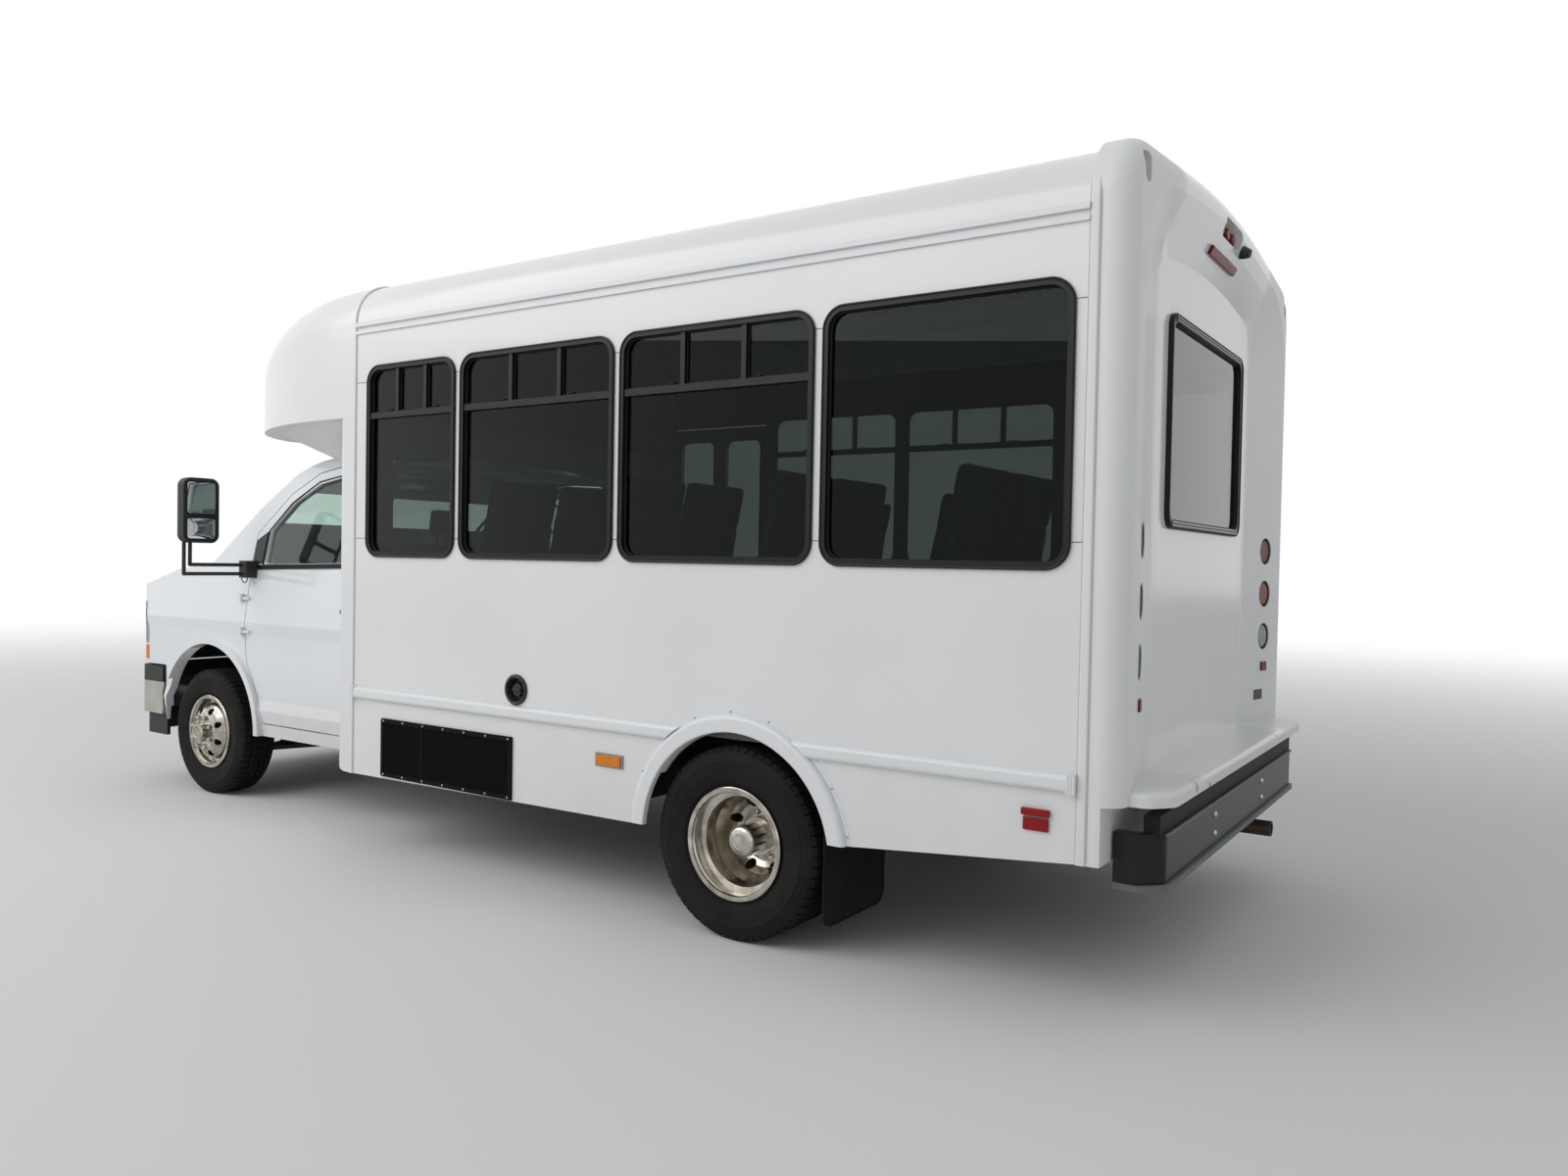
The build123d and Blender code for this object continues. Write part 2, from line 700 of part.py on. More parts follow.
front_cap = cap_body(0, cap_low, 0)
front_cap -= cap_body(wall, cap_low + 35, wall + 10)
soffit_rim = [
    (1599, 1150), (1000, 1085), (620, 905), (400, 640), (350, 300), (350, -300), (400, -640),
    (620, -905), (1000, -1085), (1599, -1150),
]
soffit_foot = [
    (1599, 900), (1250, 850), (1080, 800), (960, 600), (930, 300), (930, -300), (960, -600),
    (1080, -800), (1250, -850), (1599, -900),
]
soffit = loft(
    [Pos(0, 0, z) * outline(points, 0) for z, points in ((cap_low + 1, soffit_rim), (1925, soffit_foot))],
    ruled=True,
)
front_cap += soffit
front_cap -= block((1640, 1800), (-1179, 1179), (2000, 2600))
front_cap -= block((1640, 1800), (-1300, 1300), (2000, 2099.9))

# Rear cap: rounded outer form, hollow behind, with the recess, shelf and lamp pockets.
cap_front = side_rear + seat_gap
cap_outline = roof_outline(0, cap_low_z)
cap_outline = [(y, z if z == cap_low_z else z + cap_rise) for y, z in cap_outline]
section_radii = [0, cove_radius, crown_radius, cove_radius, 0]
cap_sweep = (half_width ** 2 + cap_bulge ** 2) / (2 * cap_bulge)
rear_cap = prism_x(cap_outline, (cap_front, cap_rear + 2 * cap_bulge), section_radii)
cap_span = (cap_low_z - 1, crown_height + cap_rise + 1)
cap_round = rod_z(cap_sweep, cap_rear + cap_bulge - cap_sweep, 0, cap_span)
rear_cap &= cap_round
rim_edges = [
    edge for edge in rear_cap.edges()
    if edge.position_at(0.5).X > cap_rear - 10 and edge.bounding_box().max.Z > cap_low_z + 1
]
rear_cap = fillet(rim_edges, cap_rim_radius)
inner_outline = [(y, z if z < cap_low_z else z + cap_rise) for y, z in roof_outline(wall, cap_low_z - 100)]
inner_radii = [0, cove_radius - wall, crown_radius, cove_radius - wall, 0]
rear_cap -= prism_x(inner_outline, (cap_front - 20, recess_face - wall), inner_radii)
recess_faces = []
for row in recess_table:
    half = row["half"]
    shoulder = crown_height - row["shoulder"]
    points = [(-half, cap_low_z - 50), (half, cap_low_z - 50), (half, shoulder),
              (0, crown_height - row["crown"]), (-half, shoulder)]
    plane = Plane(origin=(recess_face + row["out"], 0, 0), x_dir=(0, 1, 0), z_dir=(1, 0, 0))
    recess_faces.append(plane * outline(points, [0, 0, row["corner"], 4000, row["corner"]]))
rear_cap -= loft(recess_faces, ruled=True)
rear_cap -= block((recess_face + 14, shelf_rear + 100), (-1300, 1300), (cap_low_z - 100, shelf_low))
shelf = prism_z(
    [(recess_face - 35, -1140), (cap_rear + 60, -1140), (shelf_rear, -1060), (shelf_rear, 1060),
     (cap_rear + 60, 1140), (recess_face - 35, 1140)], (shelf_low, shelf_high), [0, 60, 60, 60, 60, 0],
)
shelf_top = [
    edge for edge in shelf.edges()
    if edge.bounding_box().min.Z > shelf_high - 1 and edge.center().X > recess_face
]
rear_cap += fillet(shelf_top, 18)
for side in (-1, 1):
    rear_cap -= block((side_rear - 66, recess_face + 20), span(side, 360, 440), (400, 668))
rear_cap += seam_bead(cap_low_z, (cap_front, cap_front + bead_width))
window_x = (recess_face - 125, recess_face + 75)
rear_hole = rectangle((-rear_window_half, rear_window_half), (rear_window_low, rear_window_high), 16)
rear_cap -= prism_x(rear_hole, window_x, 50)

# Tail lamps lie square on the flanks of the recess; the small lamps sit in pockets of the brow.
flank_rise = recess_table[1]["out"] - recess_table[0]["out"]
flank_run = recess_table[1]["half"] - recess_table[0]["half"]
flank_angle = math.degrees(math.atan2(flank_rise, flank_run))
lamps = []


def on_flank(shape, side, height):
    """Shape with its face in x = 0 laid on the flank of the recess at the lamps' distance."""
    x = recess_face + (lamp_y - recess_table[0]["half"]) * flank_rise / flank_run
    return Pos(x, side * lamp_y, height) * Rot(0, 0, -side * flank_angle) * shape


for side in (-1, 1):
    for height in lamp_heights:
        hole = rod_x(lamp_radius + seat_gap, 0, 0, (-34, 60))
        hole += rod_x(lamp_radius + lamp_rim, 0, 0, (-lamp_sunk - 3, 60))
        rear_cap -= on_flank(hole, side, height)
        lens = fillet(rod_x(lamp_radius, 0, 0, (-34 + seat_gap, -lamp_sunk)).edges().sort_by(Axis.X)[-1:], 6)
        lamps.append(on_flank(lens, side, height))
    middle_z = sum(reflector_z) / 2
    tall = (reflector_z[0] - middle_z, reflector_z[1] - middle_z)
    lamps.append(on_flank(block((seat_gap, 8), (-reflector_half, reflector_half), tall), side, middle_z))
for row in brow_lamps:
    centre = sum(row["y"]) / len(row["y"])
    pocket = rectangle(
        (centre - row["half_y"], centre + row["half_y"]),
        (row["z"] - row["half_z"], row["z"] + row["half_z"]),
    )
    rear_cap -= prism_x(pocket, (row["back"], cap_rear + 60), min(row["half_y"], row["half_z"]) - 2)
    for y in row["y"]:
        lens = rod_x(row["radius"], y, row["z"], (row["back"] + seat_gap, row["back"] + 24))
        lamps.append(fillet(lens.edges().sort_by(Axis.X)[-1:], row["radius"] * 0.4))
slope_x = recess_table[1]["out"]
slope_z = recess_table[0]["crown"] - recess_table[1]["crown"]
slope_angle = math.degrees(math.atan2(slope_x, slope_z))
high_place = Pos(
    recess_face + slope_x / 2, 0, crown_height - (recess_table[0]["crown"] + recess_table[1]["crown"]) / 2
) * Rot(0, slope_angle, 0)
high_half = high_lamp_size / 2
high_lens = block((-8, 24), (-high_lamp_half, high_lamp_half), (-high_half, high_half))
high_seat = block(
    (-8 - seat_gap, 30), (-high_lamp_half - seat_gap, high_lamp_half + seat_gap),
    (-high_half - seat_gap, high_half + seat_gap),
)
rear_cap -= high_place * high_seat
lamps.append(high_place * fillet(high_lens.edges().filter_by(Axis.Y).sort_by(Axis.X)[-2:], 6))
save("rear_cap", rear_cap)
save("tail_lamps", Compound(children=[s for p in lamps for s in p.solids()]))

sash = prism_x(rectangle((-rear_window_half, rear_window_half), (rear_window_low, rear_window_high)),
               (recess_face + seat_gap, recess_face + 14), 60)
sash += prism_x(
    rectangle((-rear_window_half, rear_window_half), (rear_window_low, rear_window_high), 16.3),
    (recess_face - 30, recess_face + 1), 50)
sash -= prism_x(
    rectangle((-rear_window_half, rear_window_half), (rear_window_low, rear_window_high), 30),
    window_x, 45)
frames.append(sash)
save("window_frames", Compound(children=[s for f in frames for s in f.solids()]))
rear_glass = prism_x(
    rectangle((-rear_window_half, rear_window_half), (rear_window_low, rear_window_high), 30.3),
    (recess_face - 8, recess_face - 2), 45)
panes.append(rear_glass)
save("body_glass", Compound(children=[s for p in panes for s in p.solids()]))

bumper_out = [(5446, -1105), (5520, -1105), (5590, -1035), (5590, 1035), (5520, 1105), (5446, 1105)]
bumper_in = [(5440, -1065), (5505, -1065), (5552, -1018), (5552, 1018), (5505, 1065), (5440, 1065)]
bumper_z = (430.0, 610.0)
rear_bumper = prism_z(bumper_out, bumper_z, [0, 40, 40, 40, 40, 0])
rear_bumper -= prism_z(bumper_in, (400, 700), 0)
for low, high, proud in ((bumper_z[0], bumper_z[0] + 20, 12), (bumper_z[1] - 10, bumper_z[1], 6)):
    lip_plan = [
        (x, y) if x == bumper_out[0][0] else (x + proud, y + math.copysign(proud, y))
        for x, y in bumper_out
    ]
    lip = prism_z(lip_plan, (low, high), [0, 44, 44, 44, 44, 0])
    rear_bumper += lip - prism_z(bumper_in, (400, 700), 0)
for side in (-1, 1):
    rear_bumper += block((5440.3, 5560), span(side, 370, 430), (520, 600))
save("rear_bumper", rear_bumper)

# Rails, gutters, flares and small body pieces.
trim = []
for side in (-1, 1):
    skin = half_width + seat_gap
    rail = block((side_front, side_rear), span(side, skin, skin + rail_proud), (rail_low, rail_high))
    rail = fillet(rail.edges().filter_by(Axis.X).sort_by(Axis.Y)[::-side][:2], 18)
    rail -= rod_y(flare_radius + seat_gap, arch_centre_x, arch_centre_z, (-1300, 1300))
    gutter = block((side_front, side_rear), span(side, skin, skin + 14), (2530, 2549))
    lip = block((side_front, side_rear), span(side, skin, skin + 10), (2496, 2510))
    if side > 0:
        rail -= block((entry_front - 5, entry_rear + 5), (1000, 1400), (600, 900))
    trim += [rail, gutter, lip]
    flare_section = [(skin, arch_radius), (skin + flare_proud, arch_radius),
                     (skin + flare_proud, flare_radius), (skin, flare_radius)]
    flare = revolve(outline(flare_section, [0, 6, 20, 0]), axis=Axis.X)
    flare = Pos(arch_centre_x, 0, arch_centre_z) * Rot(0, 0, side * 90) * flare
    flare -= block((3000, 5000), (-1400, 1400), (-200, 390))
    flare -= block((4300, 5000), (-1400, 1400), (-200, 443))
    trim.append(flare)
save("side_trim", Compound(children=[s for p in trim for s in p.solids()]))

panel_y = span(-1, half_width + seat_gap, half_width + 7)
panel = block((1967, 2860), panel_y, (380, 655))
save("condenser_panel", panel)
filler_profile = [
    (half_width + seat_gap, filler_flange), (half_width + 8, filler_flange), (half_width + 8, filler_mouth),
    (half_width - 26, filler_mouth - 6), (half_width - 26, 30), (half_width - 2, 27), (half_width - 2, 0),
    (half_width - 34, 0), (half_width - 34, filler_hole - seat_gap),
    (half_width + seat_gap, filler_hole - seat_gap),
]
filler = revolve(outline(filler_profile, 0), axis=Axis.X)
save("fuel_filler", Pos(filler_x, 0, filler_z) * Rot(0, 0, -90) * filler)

flaps = []
for side in (-1, 1):
    flaps += prism_x([(side * 720, 659.9), (side * 720, 110), (side * 1170, 110), (side * 1170, 659.9)],
                     (4418, 4426), [0, 60, 60, 0]).solids()
save("mud_flaps", Compound(children=flaps))

markers = []
for side in (-1, 1):
    skin = half_width + seat_gap
    markers.append(block((3351, 3500), span(side, skin, skin + 16), (590, 645)))
    markers.append(block((5187, 5285), span(side, skin, skin + 16), (600, 675)))
save("marker_lamps", Compound(children=[s for p in markers for s in p.solids()]))

# Cab: one outer volume, cut along the real panel gaps.
cab_side = [
    (1600, 400), (1600, 2040), (1150, 2010), (905, 1955), (700, 1868), (420, 1682), (40, 1368),
    (-333, 1322), (-690, 1225), (-770, 1130), (-812, 1000), (-812, 560), (-700, 400),
]
cab_side_radii = [0, 0, 400, 400, 400, 400, 60, 300, 60, 60, 60, 40, 0]
cab_cross = [
    (975, 380), (1000, 545), (985, 605), (990, 960), (cab_half_width, 1030),
    (980, belt_height), (cab_roof_half_width, 1960), (0, 2060), (-cab_roof_half_width, 1960),
    (-980, belt_height), (-cab_half_width, 1030), (-990, 960), (-985, 605), (-1000, 545),
    (-975, 380),
]
cab_cross_radii = [0, 20, 30, 60, 40, 150, 110, 3000, 110, 150, 40, 60, 30, 20, 0]
cab_plan = [
    (1600, cab_half_width), (-700, cab_half_width), (-800, 800), (-835, 0), (-800, -800),
    (-700, -cab_half_width), (1600, -cab_half_width),
]
cab_plan_radii = [0, 110, 110, 3000, 110, 110, 0]


def cab_volume(inset):
    """Cab volume; every skin moved in by the inset, open at the back when inset."""
    side = shrunk(cab_side, cab_side_radii, inset)
    cross = shrunk(cab_cross, cab_cross_radii, inset)
    plan = shrunk(cab_plan, cab_plan_radii, inset)
    volume = slab_y(side, (-1100, 1100)) & slab_x(cross, (-900, 1700))
    return volume & slab_z(plan, (300, 2200))


cab_outer = cab_volume(0)
cab_inner = cab_volume(cab_wall)
front_cap -= cab_volume(-seat_gap)
front_cap += seam_bead(cap_low, bead_x)
save("front_cap", front_cap)
shell = cab_outer - cab_inner
shell -= block((1550, 1700), (-cab_half_width + cab_wall, cab_half_width - cab_wall), (380, 1990))
door_outline = [
    (443, 1295), (427, 1081), (404, 887), (421, 800), (498, 670), (565, 541), (590, 470),
    (1452, 470), (1452, 1900), (1150, 1915), (930, 1880), (700, 1768), (443, 1545),
]
door_shape = list(door_outline)
door_shape[8] = (1428, 1900)
door_shape.insert(8, (1452, 1300))
arch_cut = rod_y(cab_arch_radius, cab_arch_x, cab_arch_z, (-1100, 1100))
body_shell = shell - arch_cut
body_shell -= prism_y(door_outline, (700, 1100)) + prism_y(door_outline, (-1100, -700))
body_shell -= block((-900, 330), (-960, 960), (300, 480))
body_shell -= block((-900, -455), (-1100, 1100), (380, 735))
body_shell -= block((376, 1700), (-900, 900), (300, 480))
glass_region = [(95, 1395), (860, 1925), (760, 2080), (-60, 1520)]
glass_half = 775
body_shell -= prism_y(glass_region, (-glass_half, glass_half))
hood_x = (-900, 30)
hood_half = 830
body_shell -= block(hood_x, (-hood_half, hood_half), (1135, 1500))
nose_x = (-900, -640)
body_shell -= block(nose_x, (-905, 905), (730, 1135))
within = cab_volume(cab_wall + seat_gap)
firewall = prism_x([(-980, 669), (980, 669), (980, 1280), (-980, 1280)], (330, 372))
cab_floor = block((371, 1600), (-980, 980), (669, 715))
cab_floor += firewall
for side in (-1, 1):
    cab_floor -= rod_y(cab_arch_radius, cab_arch_x, cab_arch_z, span(side, 560, 1100))
save("cab_floor", cab_floor & within)
fender_low = block((-900, 590), (-1100, 1100), (300, 1300))
pillar_line = block((-900, 30), (-1100, 1100), (1299, 1500))
fender_region = fender_low + pillar_line
fenders = body_shell & fender_region
cab_shell = body_shell - fender_region
for side in (-1, 1):
    lip = rod_y(cab_arch_radius + lip_width, cab_arch_x, cab_arch_z, span(side, 965, lip_proud_y))
    lip -= arch_cut + prism_y(door_outline, (900, 1100)) + prism_y(door_outline, (-1100, -900))
    lip -= block((-900, 900), (-1100, 1100), (-200, 400))
    lip -= block((-900, -380), (-1100, 1100), (-200, 740))
    fenders += lip
cab_shell -= block((1500, 1700), (-1100, 1100), (2099.5, 2300))
door_knuckles = {}
for side in (-1, 1):
    pins, knuckles = barrels(
        door_hinge_x, side * door_hinge_y, (960, 1150), (368, 404), (404, 446, 470), span(side, 975, 1011)
    )
    door_knuckles[side] = knuckles
    for pin in pins:
        fenders += pin
save("fenders", fenders)
hood_knuckles = []
for y in (-600, 554):
    pin = rod_y(hinge_pin_radius, 26, 1375, (y, y + 46))
    for low in (y, y + 31):
        pin += rod_y(7, 26, 1375, (low, low + 15)) + block((26, 56), (low, low + 15), (1358, 1371))
    cab_shell += pin
    knuckle = rod_y(7, 26, 1375, (y + 15.5, y + 30.5))
    knuckle += block((-14, 26), (y + 15.5, y + 30.5), (1358, 1371))
    hood_knuckles.append(knuckle - rod_y(hinge_pin_radius + bearing_gap, 26, 1375, (y, y + 46)))
save("cab_shell", cab_shell)

hood = shell & block((-900, 24), (-hood_half + 6, hood_half - 6), (1141, 1500))
hood -= cab_volume(26)
for knuckle in hood_knuckles:
    hood += knuckle
save("hood", hood)

front_region = shell & block((-900, -640.3), (-904.7, 904.7), (735.3, 1134.7))
grille_area = block((-900, -600), (-560, 560), (700, 1200))
grille_area += block((-900, -600), (-905, 905), (700, 850))
grille = front_region & grille_area
for row in range(5):
    low = 820 + row * 56
    grille -= block((-900, -790), (-520, 520), (low, low + 30))
save("grille", grille)
lights = []
for side in (-1, 1):
    lights += (front_region & block((-900, -600), span(side, 560.3, 904.7), (850.3, 1134.7))).solids()
save("headlamps", Compound(children=lights))

windshield = cab_outer & prism_y(glass_region, (-glass_half + 2, glass_half - 2))
windshield -= cab_volume(8)
save("windshield", windshield)

for name, side in (("left", -1), ("right", 1)):
    region = shrunk(door_shape, [0] * len(door_shape), door_gap)
    door = shell & slab_y(region, span(side, 700, 1100))
    glass_outline = [
        (566, 1368), (1385, 1388), (1385, 1845), (1150, 1850), (945, 1815), (735, 1710), (566, 1560),
    ]
    hole = prism_y(glass_outline, span(side, 700, 1100), 30)
    pane = door & prism_y([(x, z) for x, z in glass_outline], span(side, 700, 1100), 30)
    pane = pane - cab_volume(24)
    pane = pane & cab_volume(18)
    door -= hole
    for knuckle in door_knuckles[side]:
        door += knuckle
    save("cab_door_" + name, door)
    small = shrunk(glass_outline, [30] * len(glass_outline), seat_gap)
    pane &= slab_y(small, span(side, 700, 1100))
    save("door_glass_" + name, pane)

# Front bumper and the dark apron below it.
def bumper_plan(inset):
    return [
        (-470, 1000 - inset), (-720 + inset * 0.4, 1000 - inset), (-820 + inset, 820 - inset * 0.4),
        (-front_overhang + inset, 0), (-820 + inset, inset * 0.4 - 820),
        (-720 + inset * 0.4, inset - 1000), (-470, inset - 1000),
    ]


bumper_radii = [0, 90, 90, 3000, 90, 90, 0]
front_bumper = prism_z(bumper_plan(0), (432, 725), bumper_radii)
inner_bumper = bumper_plan(36)
inner_bumper[0] = (-400, inner_bumper[0][1])
inner_bumper[-1] = (-400, inner_bumper[-1][1])
front_bumper -= prism_z(inner_bumper, (300, 800), [0, 60, 60, 3000, 60, 60, 0])
for side in (-1, 1):
    front_bumper += block((-815, -640.3), span(side, 370, 430), (520, 620))
save("front_bumper", front_bumper)
apron = prism_z(bumper_plan(30), (300, 431.7), [0, 60, 60, 3000, 60, 60, 0])
apron_in = bumper_plan(50)
apron_in[0] = (-400, apron_in[0][1])
apron_in[-1] = (-400, apron_in[-1][1])
apron -= prism_z(apron_in, (200, 500), [0, 60, 60, 3000, 60, 60, 0])
save("air_dam", apron)

# Mirrors on the doors: a head on two bent tubes from one bracket.
mirror_x = (415.0, 492.0)
mirror_y_span = (1195.0, 1392.0)
mirror_z = (1480.0, 1832.0)
tube_x = 455.0
tube_radius = 10.0
tube_paths = [
    [(990, 1312), (1368, 1312), (1368, 1500)],
    [(990, 1362), (1335, 1362), (1335, 1500)],
]
for name, side in (("left", -1), ("right", 1)):
    head = prism_x(rectangle(span(side, *mirror_y_span), mirror_z), mirror_x, 45)
    rim_plane = head.faces().sort_by(Axis.X)[0]
    head = fillet(rim_plane.edges(), 22)
    mirror = head
    for path in tube_paths:
        for first, second in zip(path, path[1:]):
            mirror += rod_between(
                tube_radius, (tube_x, side * first[0], first[1]), (tube_x, side * second[0], second[1])
            )
        mirror += Pos(tube_x, side * path[1][0], path[1][1]) * Sphere(tube_radius)
    mirror += block((436, 512), span(side, 930, 1046), (1290, 1386))
    mirror -= cab_volume(-seat_gap)
    save("mirror_" + name, mirror)

# Inside: dashboard with the column, steering wheel, seats.
wheel_centre = Vector(760, -450, 1210)
column_way = Vector(-math.cos(math.radians(28)), 0, -math.sin(math.radians(28)))
dash = prism_y(
    [(372.3, 1000), (372.3, 1300), (470, 1330), (640, 1280), (660, 1180), (560, 1000)], (-920, 920), 20,
)
column_start = wheel_centre + column_way * 60
column = rod_between(32, tuple(column_start), tuple(wheel_centre + column_way * 230))
bore = rod_between(
    12 + bearing_gap, tuple(column_start - column_way * 5), tuple(wheel_centre + column_way * 160)
)
dash = (dash + column) - bore
save("dashboard", dash)
wheel_plane = Plane(origin=wheel_centre, z_dir=column_way)
hand_wheel = wheel_plane * Torus(190, 14)
hand_wheel += rod_between(42, tuple(wheel_centre), tuple(wheel_centre + column_way * 54))
for turn in (0, 120, 240):
    spoke = Rot(0, 0, turn + 30) * block((20, 185), (-13, 13), (-6, 6))
    hand_wheel += wheel_plane * spoke
hand_wheel += rod_between(12, tuple(wheel_centre + column_way * 40), tuple(wheel_centre + column_way * 150))
save("steering_wheel", hand_wheel)

# Seats: each cushion, back and leg is a plain convex solid.
seat_low = 220.0
seat_high = 710.0
cab_seats = []
for side in (-1, 1):
    across = span(side, seat_low, seat_high)
    base = block((960, 1400), span(side, 240, 690), (715.3, 950 - seat_gap))
    cushion = block((930, 1430), across, (950, 1060 - seat_gap))
    back = prism_y([(1350, 1060), (1440, 1060), (1540, 1700), (1462, 1700)], across, 20)
    cab_seats += base.solids() + cushion.solids() + back.solids()
save("cab_seats", Compound(children=cab_seats))

bench_low = 290.0
bench_high = 1150.0
bench_seat_z = 1180.0
bench_cushion = 100.0
bench_depth = 430.0
bench_back_top = 1800.0
bench_table = [
    dict(side=-1, x=2100.0), dict(side=-1, x=2880.0), dict(side=-1, x=3640.0), dict(side=-1, x=4400.0),
    dict(side=1, x=2880.0), dict(side=1, x=3640.0), dict(side=1, x=4400.0),
]
seats = []
for row in bench_table:
    side, x = row["side"], row["x"]
    across = span(side, bench_low, bench_high)
    top = bench_seat_z + bench_cushion
    cushion = block((x, x + bench_depth), across, (bench_seat_z, top))
    back = prism_y(
        [(x + 380, top + seat_gap), (x + 470, top + seat_gap), (x + 560, bench_back_top),
         (x + 490, bench_back_top)], across, 20,
    )
    seats += cushion.solids() + back.solids()
    for leg_x in (x + 80, x + 320):
        leg_z = (floor_top + seat_gap, bench_seat_z - seat_gap)
        seats += block((leg_x, leg_x + 40), span(side, 380, 1120), leg_z).solids()
save("passenger_seats", Compound(children=seats))
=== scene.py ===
import math

import bmesh
import bpy
from mathutils import Matrix, Vector
from mathutils.bvhtree import BVHTree


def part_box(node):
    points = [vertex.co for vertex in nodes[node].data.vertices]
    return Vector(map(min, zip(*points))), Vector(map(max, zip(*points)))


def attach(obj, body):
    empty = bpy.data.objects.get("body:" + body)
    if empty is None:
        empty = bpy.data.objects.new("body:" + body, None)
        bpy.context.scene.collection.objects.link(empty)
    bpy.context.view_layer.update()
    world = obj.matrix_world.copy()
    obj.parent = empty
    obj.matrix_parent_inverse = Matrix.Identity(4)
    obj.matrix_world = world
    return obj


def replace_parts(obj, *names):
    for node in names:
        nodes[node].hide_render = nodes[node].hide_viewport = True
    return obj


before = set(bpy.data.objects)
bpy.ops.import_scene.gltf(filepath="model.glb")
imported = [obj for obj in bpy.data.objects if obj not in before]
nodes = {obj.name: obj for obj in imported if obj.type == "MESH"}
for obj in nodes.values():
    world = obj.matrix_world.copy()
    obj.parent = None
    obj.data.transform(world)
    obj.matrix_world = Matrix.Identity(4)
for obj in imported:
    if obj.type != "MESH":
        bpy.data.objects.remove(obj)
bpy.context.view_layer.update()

# Coach shell: roof, side panels and the moulded front cap. They are glass fibre laid up in
# polished moulds with a white gelcoat: a deep gloss over a long soft waviness, slightly
# uneven in tone, with a thin film of road dust along the lower edges and a grey lining inside.
front_axle = sum(corner.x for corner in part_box("front_tyre_left")) / 2
side_out = 1.2192
lining_y, cove_foot = 1.19, 2.53
ceiling_half, ceiling_top = 1.0, 2.804
crown_radius = 6.0


def shade(code):
    """Linear colour from an sRGB hex code."""
    values = [int(code[i : i + 2], 16) / 255 for i in (0, 2, 4)]
    return [v / 12.92 if v < 0.04045 else ((v + 0.055) / 1.055) ** 2.4 for v in values] + [1.0]


def add(tree, kind, feeds=(), **values):
    """One node with its settings. Each feed is a source and the input it goes to; the source is
    a socket, a node (its first socket in use) or a plain value."""
    made = tree.nodes.new(kind)
    for key, value in values.items():
        if hasattr(made, key):
            setattr(made, key, value)
        else:
            made.inputs[key.replace("_", " ")].default_value = value
    for source, target in feeds:
        if isinstance(source, bpy.types.Node):
            source = next(socket for socket in source.outputs if socket.enabled)
        if isinstance(source, bpy.types.NodeSocket):
            tree.links.new(source, made.inputs[target])
        else:
            made.inputs[target].default_value = source
    return made


def finish(name, code, tone=None, relief=(), gloss=None, stretch=(1.0, 1.0, 1.0), **values):
    """A material. Its textures are (kind, scale, detail), laid in the object's own metres: one
    runs the tone between two colours, others press the relief, one spreads the roughness."""
    made = bpy.data.materials.new(name)
    made.use_nodes = True
    tree = made.node_tree
    principled = tree.nodes["Principled BSDF"]
    principled.inputs["Base Color"].default_value = shade(code)
    for key, value in values.items():
        principled.inputs[key.replace("_", " ")].default_value = value
    place = add(tree, "ShaderNodeTexCoord").outputs["Object"]
    if stretch != (1.0, 1.0, 1.0):
        place = add(tree, "ShaderNodeMapping", [(place, "Vector"), (stretch, "Scale")])
    drawn = {}

    def texture(key):
        kind, scale, *detail = key
        feeds = [(place, "Vector"), (scale, "Scale")]
        if key in drawn:
            return drawn[key]
        if kind == "Weave":
            threads = []
            for number, way in enumerate("YX"):
                wave = add(tree, "ShaderNodeTexWave", feeds, Distortion=1.0, bands_direction=way)
                threads.append((wave.outputs["Fac"], number))
            drawn[key] = add(tree, "ShaderNodeMath", threads, operation="MULTIPLY")
        else:
            word = {"Noise": "Detail", "Voronoi": "Randomness", "Wave": "bands_direction"}[kind]
            node = add(tree, "ShaderNodeTex" + kind, feeds, **dict(zip([word], detail)))
            drawn[key] = node.outputs["Distance" if kind == "Voronoi" else "Fac"]
        return drawn[key]

    if tone:
        key, first, second, *span = tone
        ramp = add(tree, "ShaderNodeValToRGB", [(texture(key), "Fac")])
        for stop, hue, position in zip(ramp.color_ramp.elements, (first, second), span or (0.0, 1.0)):
            stop.position = position
            stop.color = shade(hue)
        tree.links.new(ramp.outputs["Color"], principled.inputs["Base Color"])
    under = []
    for key, strength, distance in relief:
        feeds = [(texture(key), "Height"), *under]
        bump = add(tree, "ShaderNodeBump", feeds, Strength=strength, Distance=distance)
        under = [(bump, "Normal")]
        tree.links.new(bump.outputs["Normal"], principled.inputs["Normal"])
    if gloss:
        key, least, most = gloss
        rough = add(tree, "ShaderNodeMapRange", [(texture(key), "Value")], To_Min=least, To_Max=most)
        tree.links.new(rough.outputs[0], principled.inputs["Roughness"])
    return made


def axes_of(made):
    """A material's place on the object in metres: x, y, z, and how far out from the middle."""
    tree = made.node_tree
    place = add(tree, "ShaderNodeTexCoord").outputs["Object"]
    x, y, z = add(tree, "ShaderNodeSeparateXYZ", [(place, "Vector")]).outputs
    return x, y, z, add(tree, "ShaderNodeMath", [(y, 0)], operation="ABSOLUTE")


def zone(made, *limits):
    """A mask that is one where every limit (place, comparison, level) holds."""
    share = 1.0
    for place, comparison, level in limits:
        held = add(made.node_tree, "ShaderNodeMath", [(place, 0), (level, 1)], operation=comparison + "_THAN")
        both = [(share, 0), (held, 1)]
        share = add(made.node_tree, "ShaderNodeMath", both, operation="MULTIPLY")
    return share


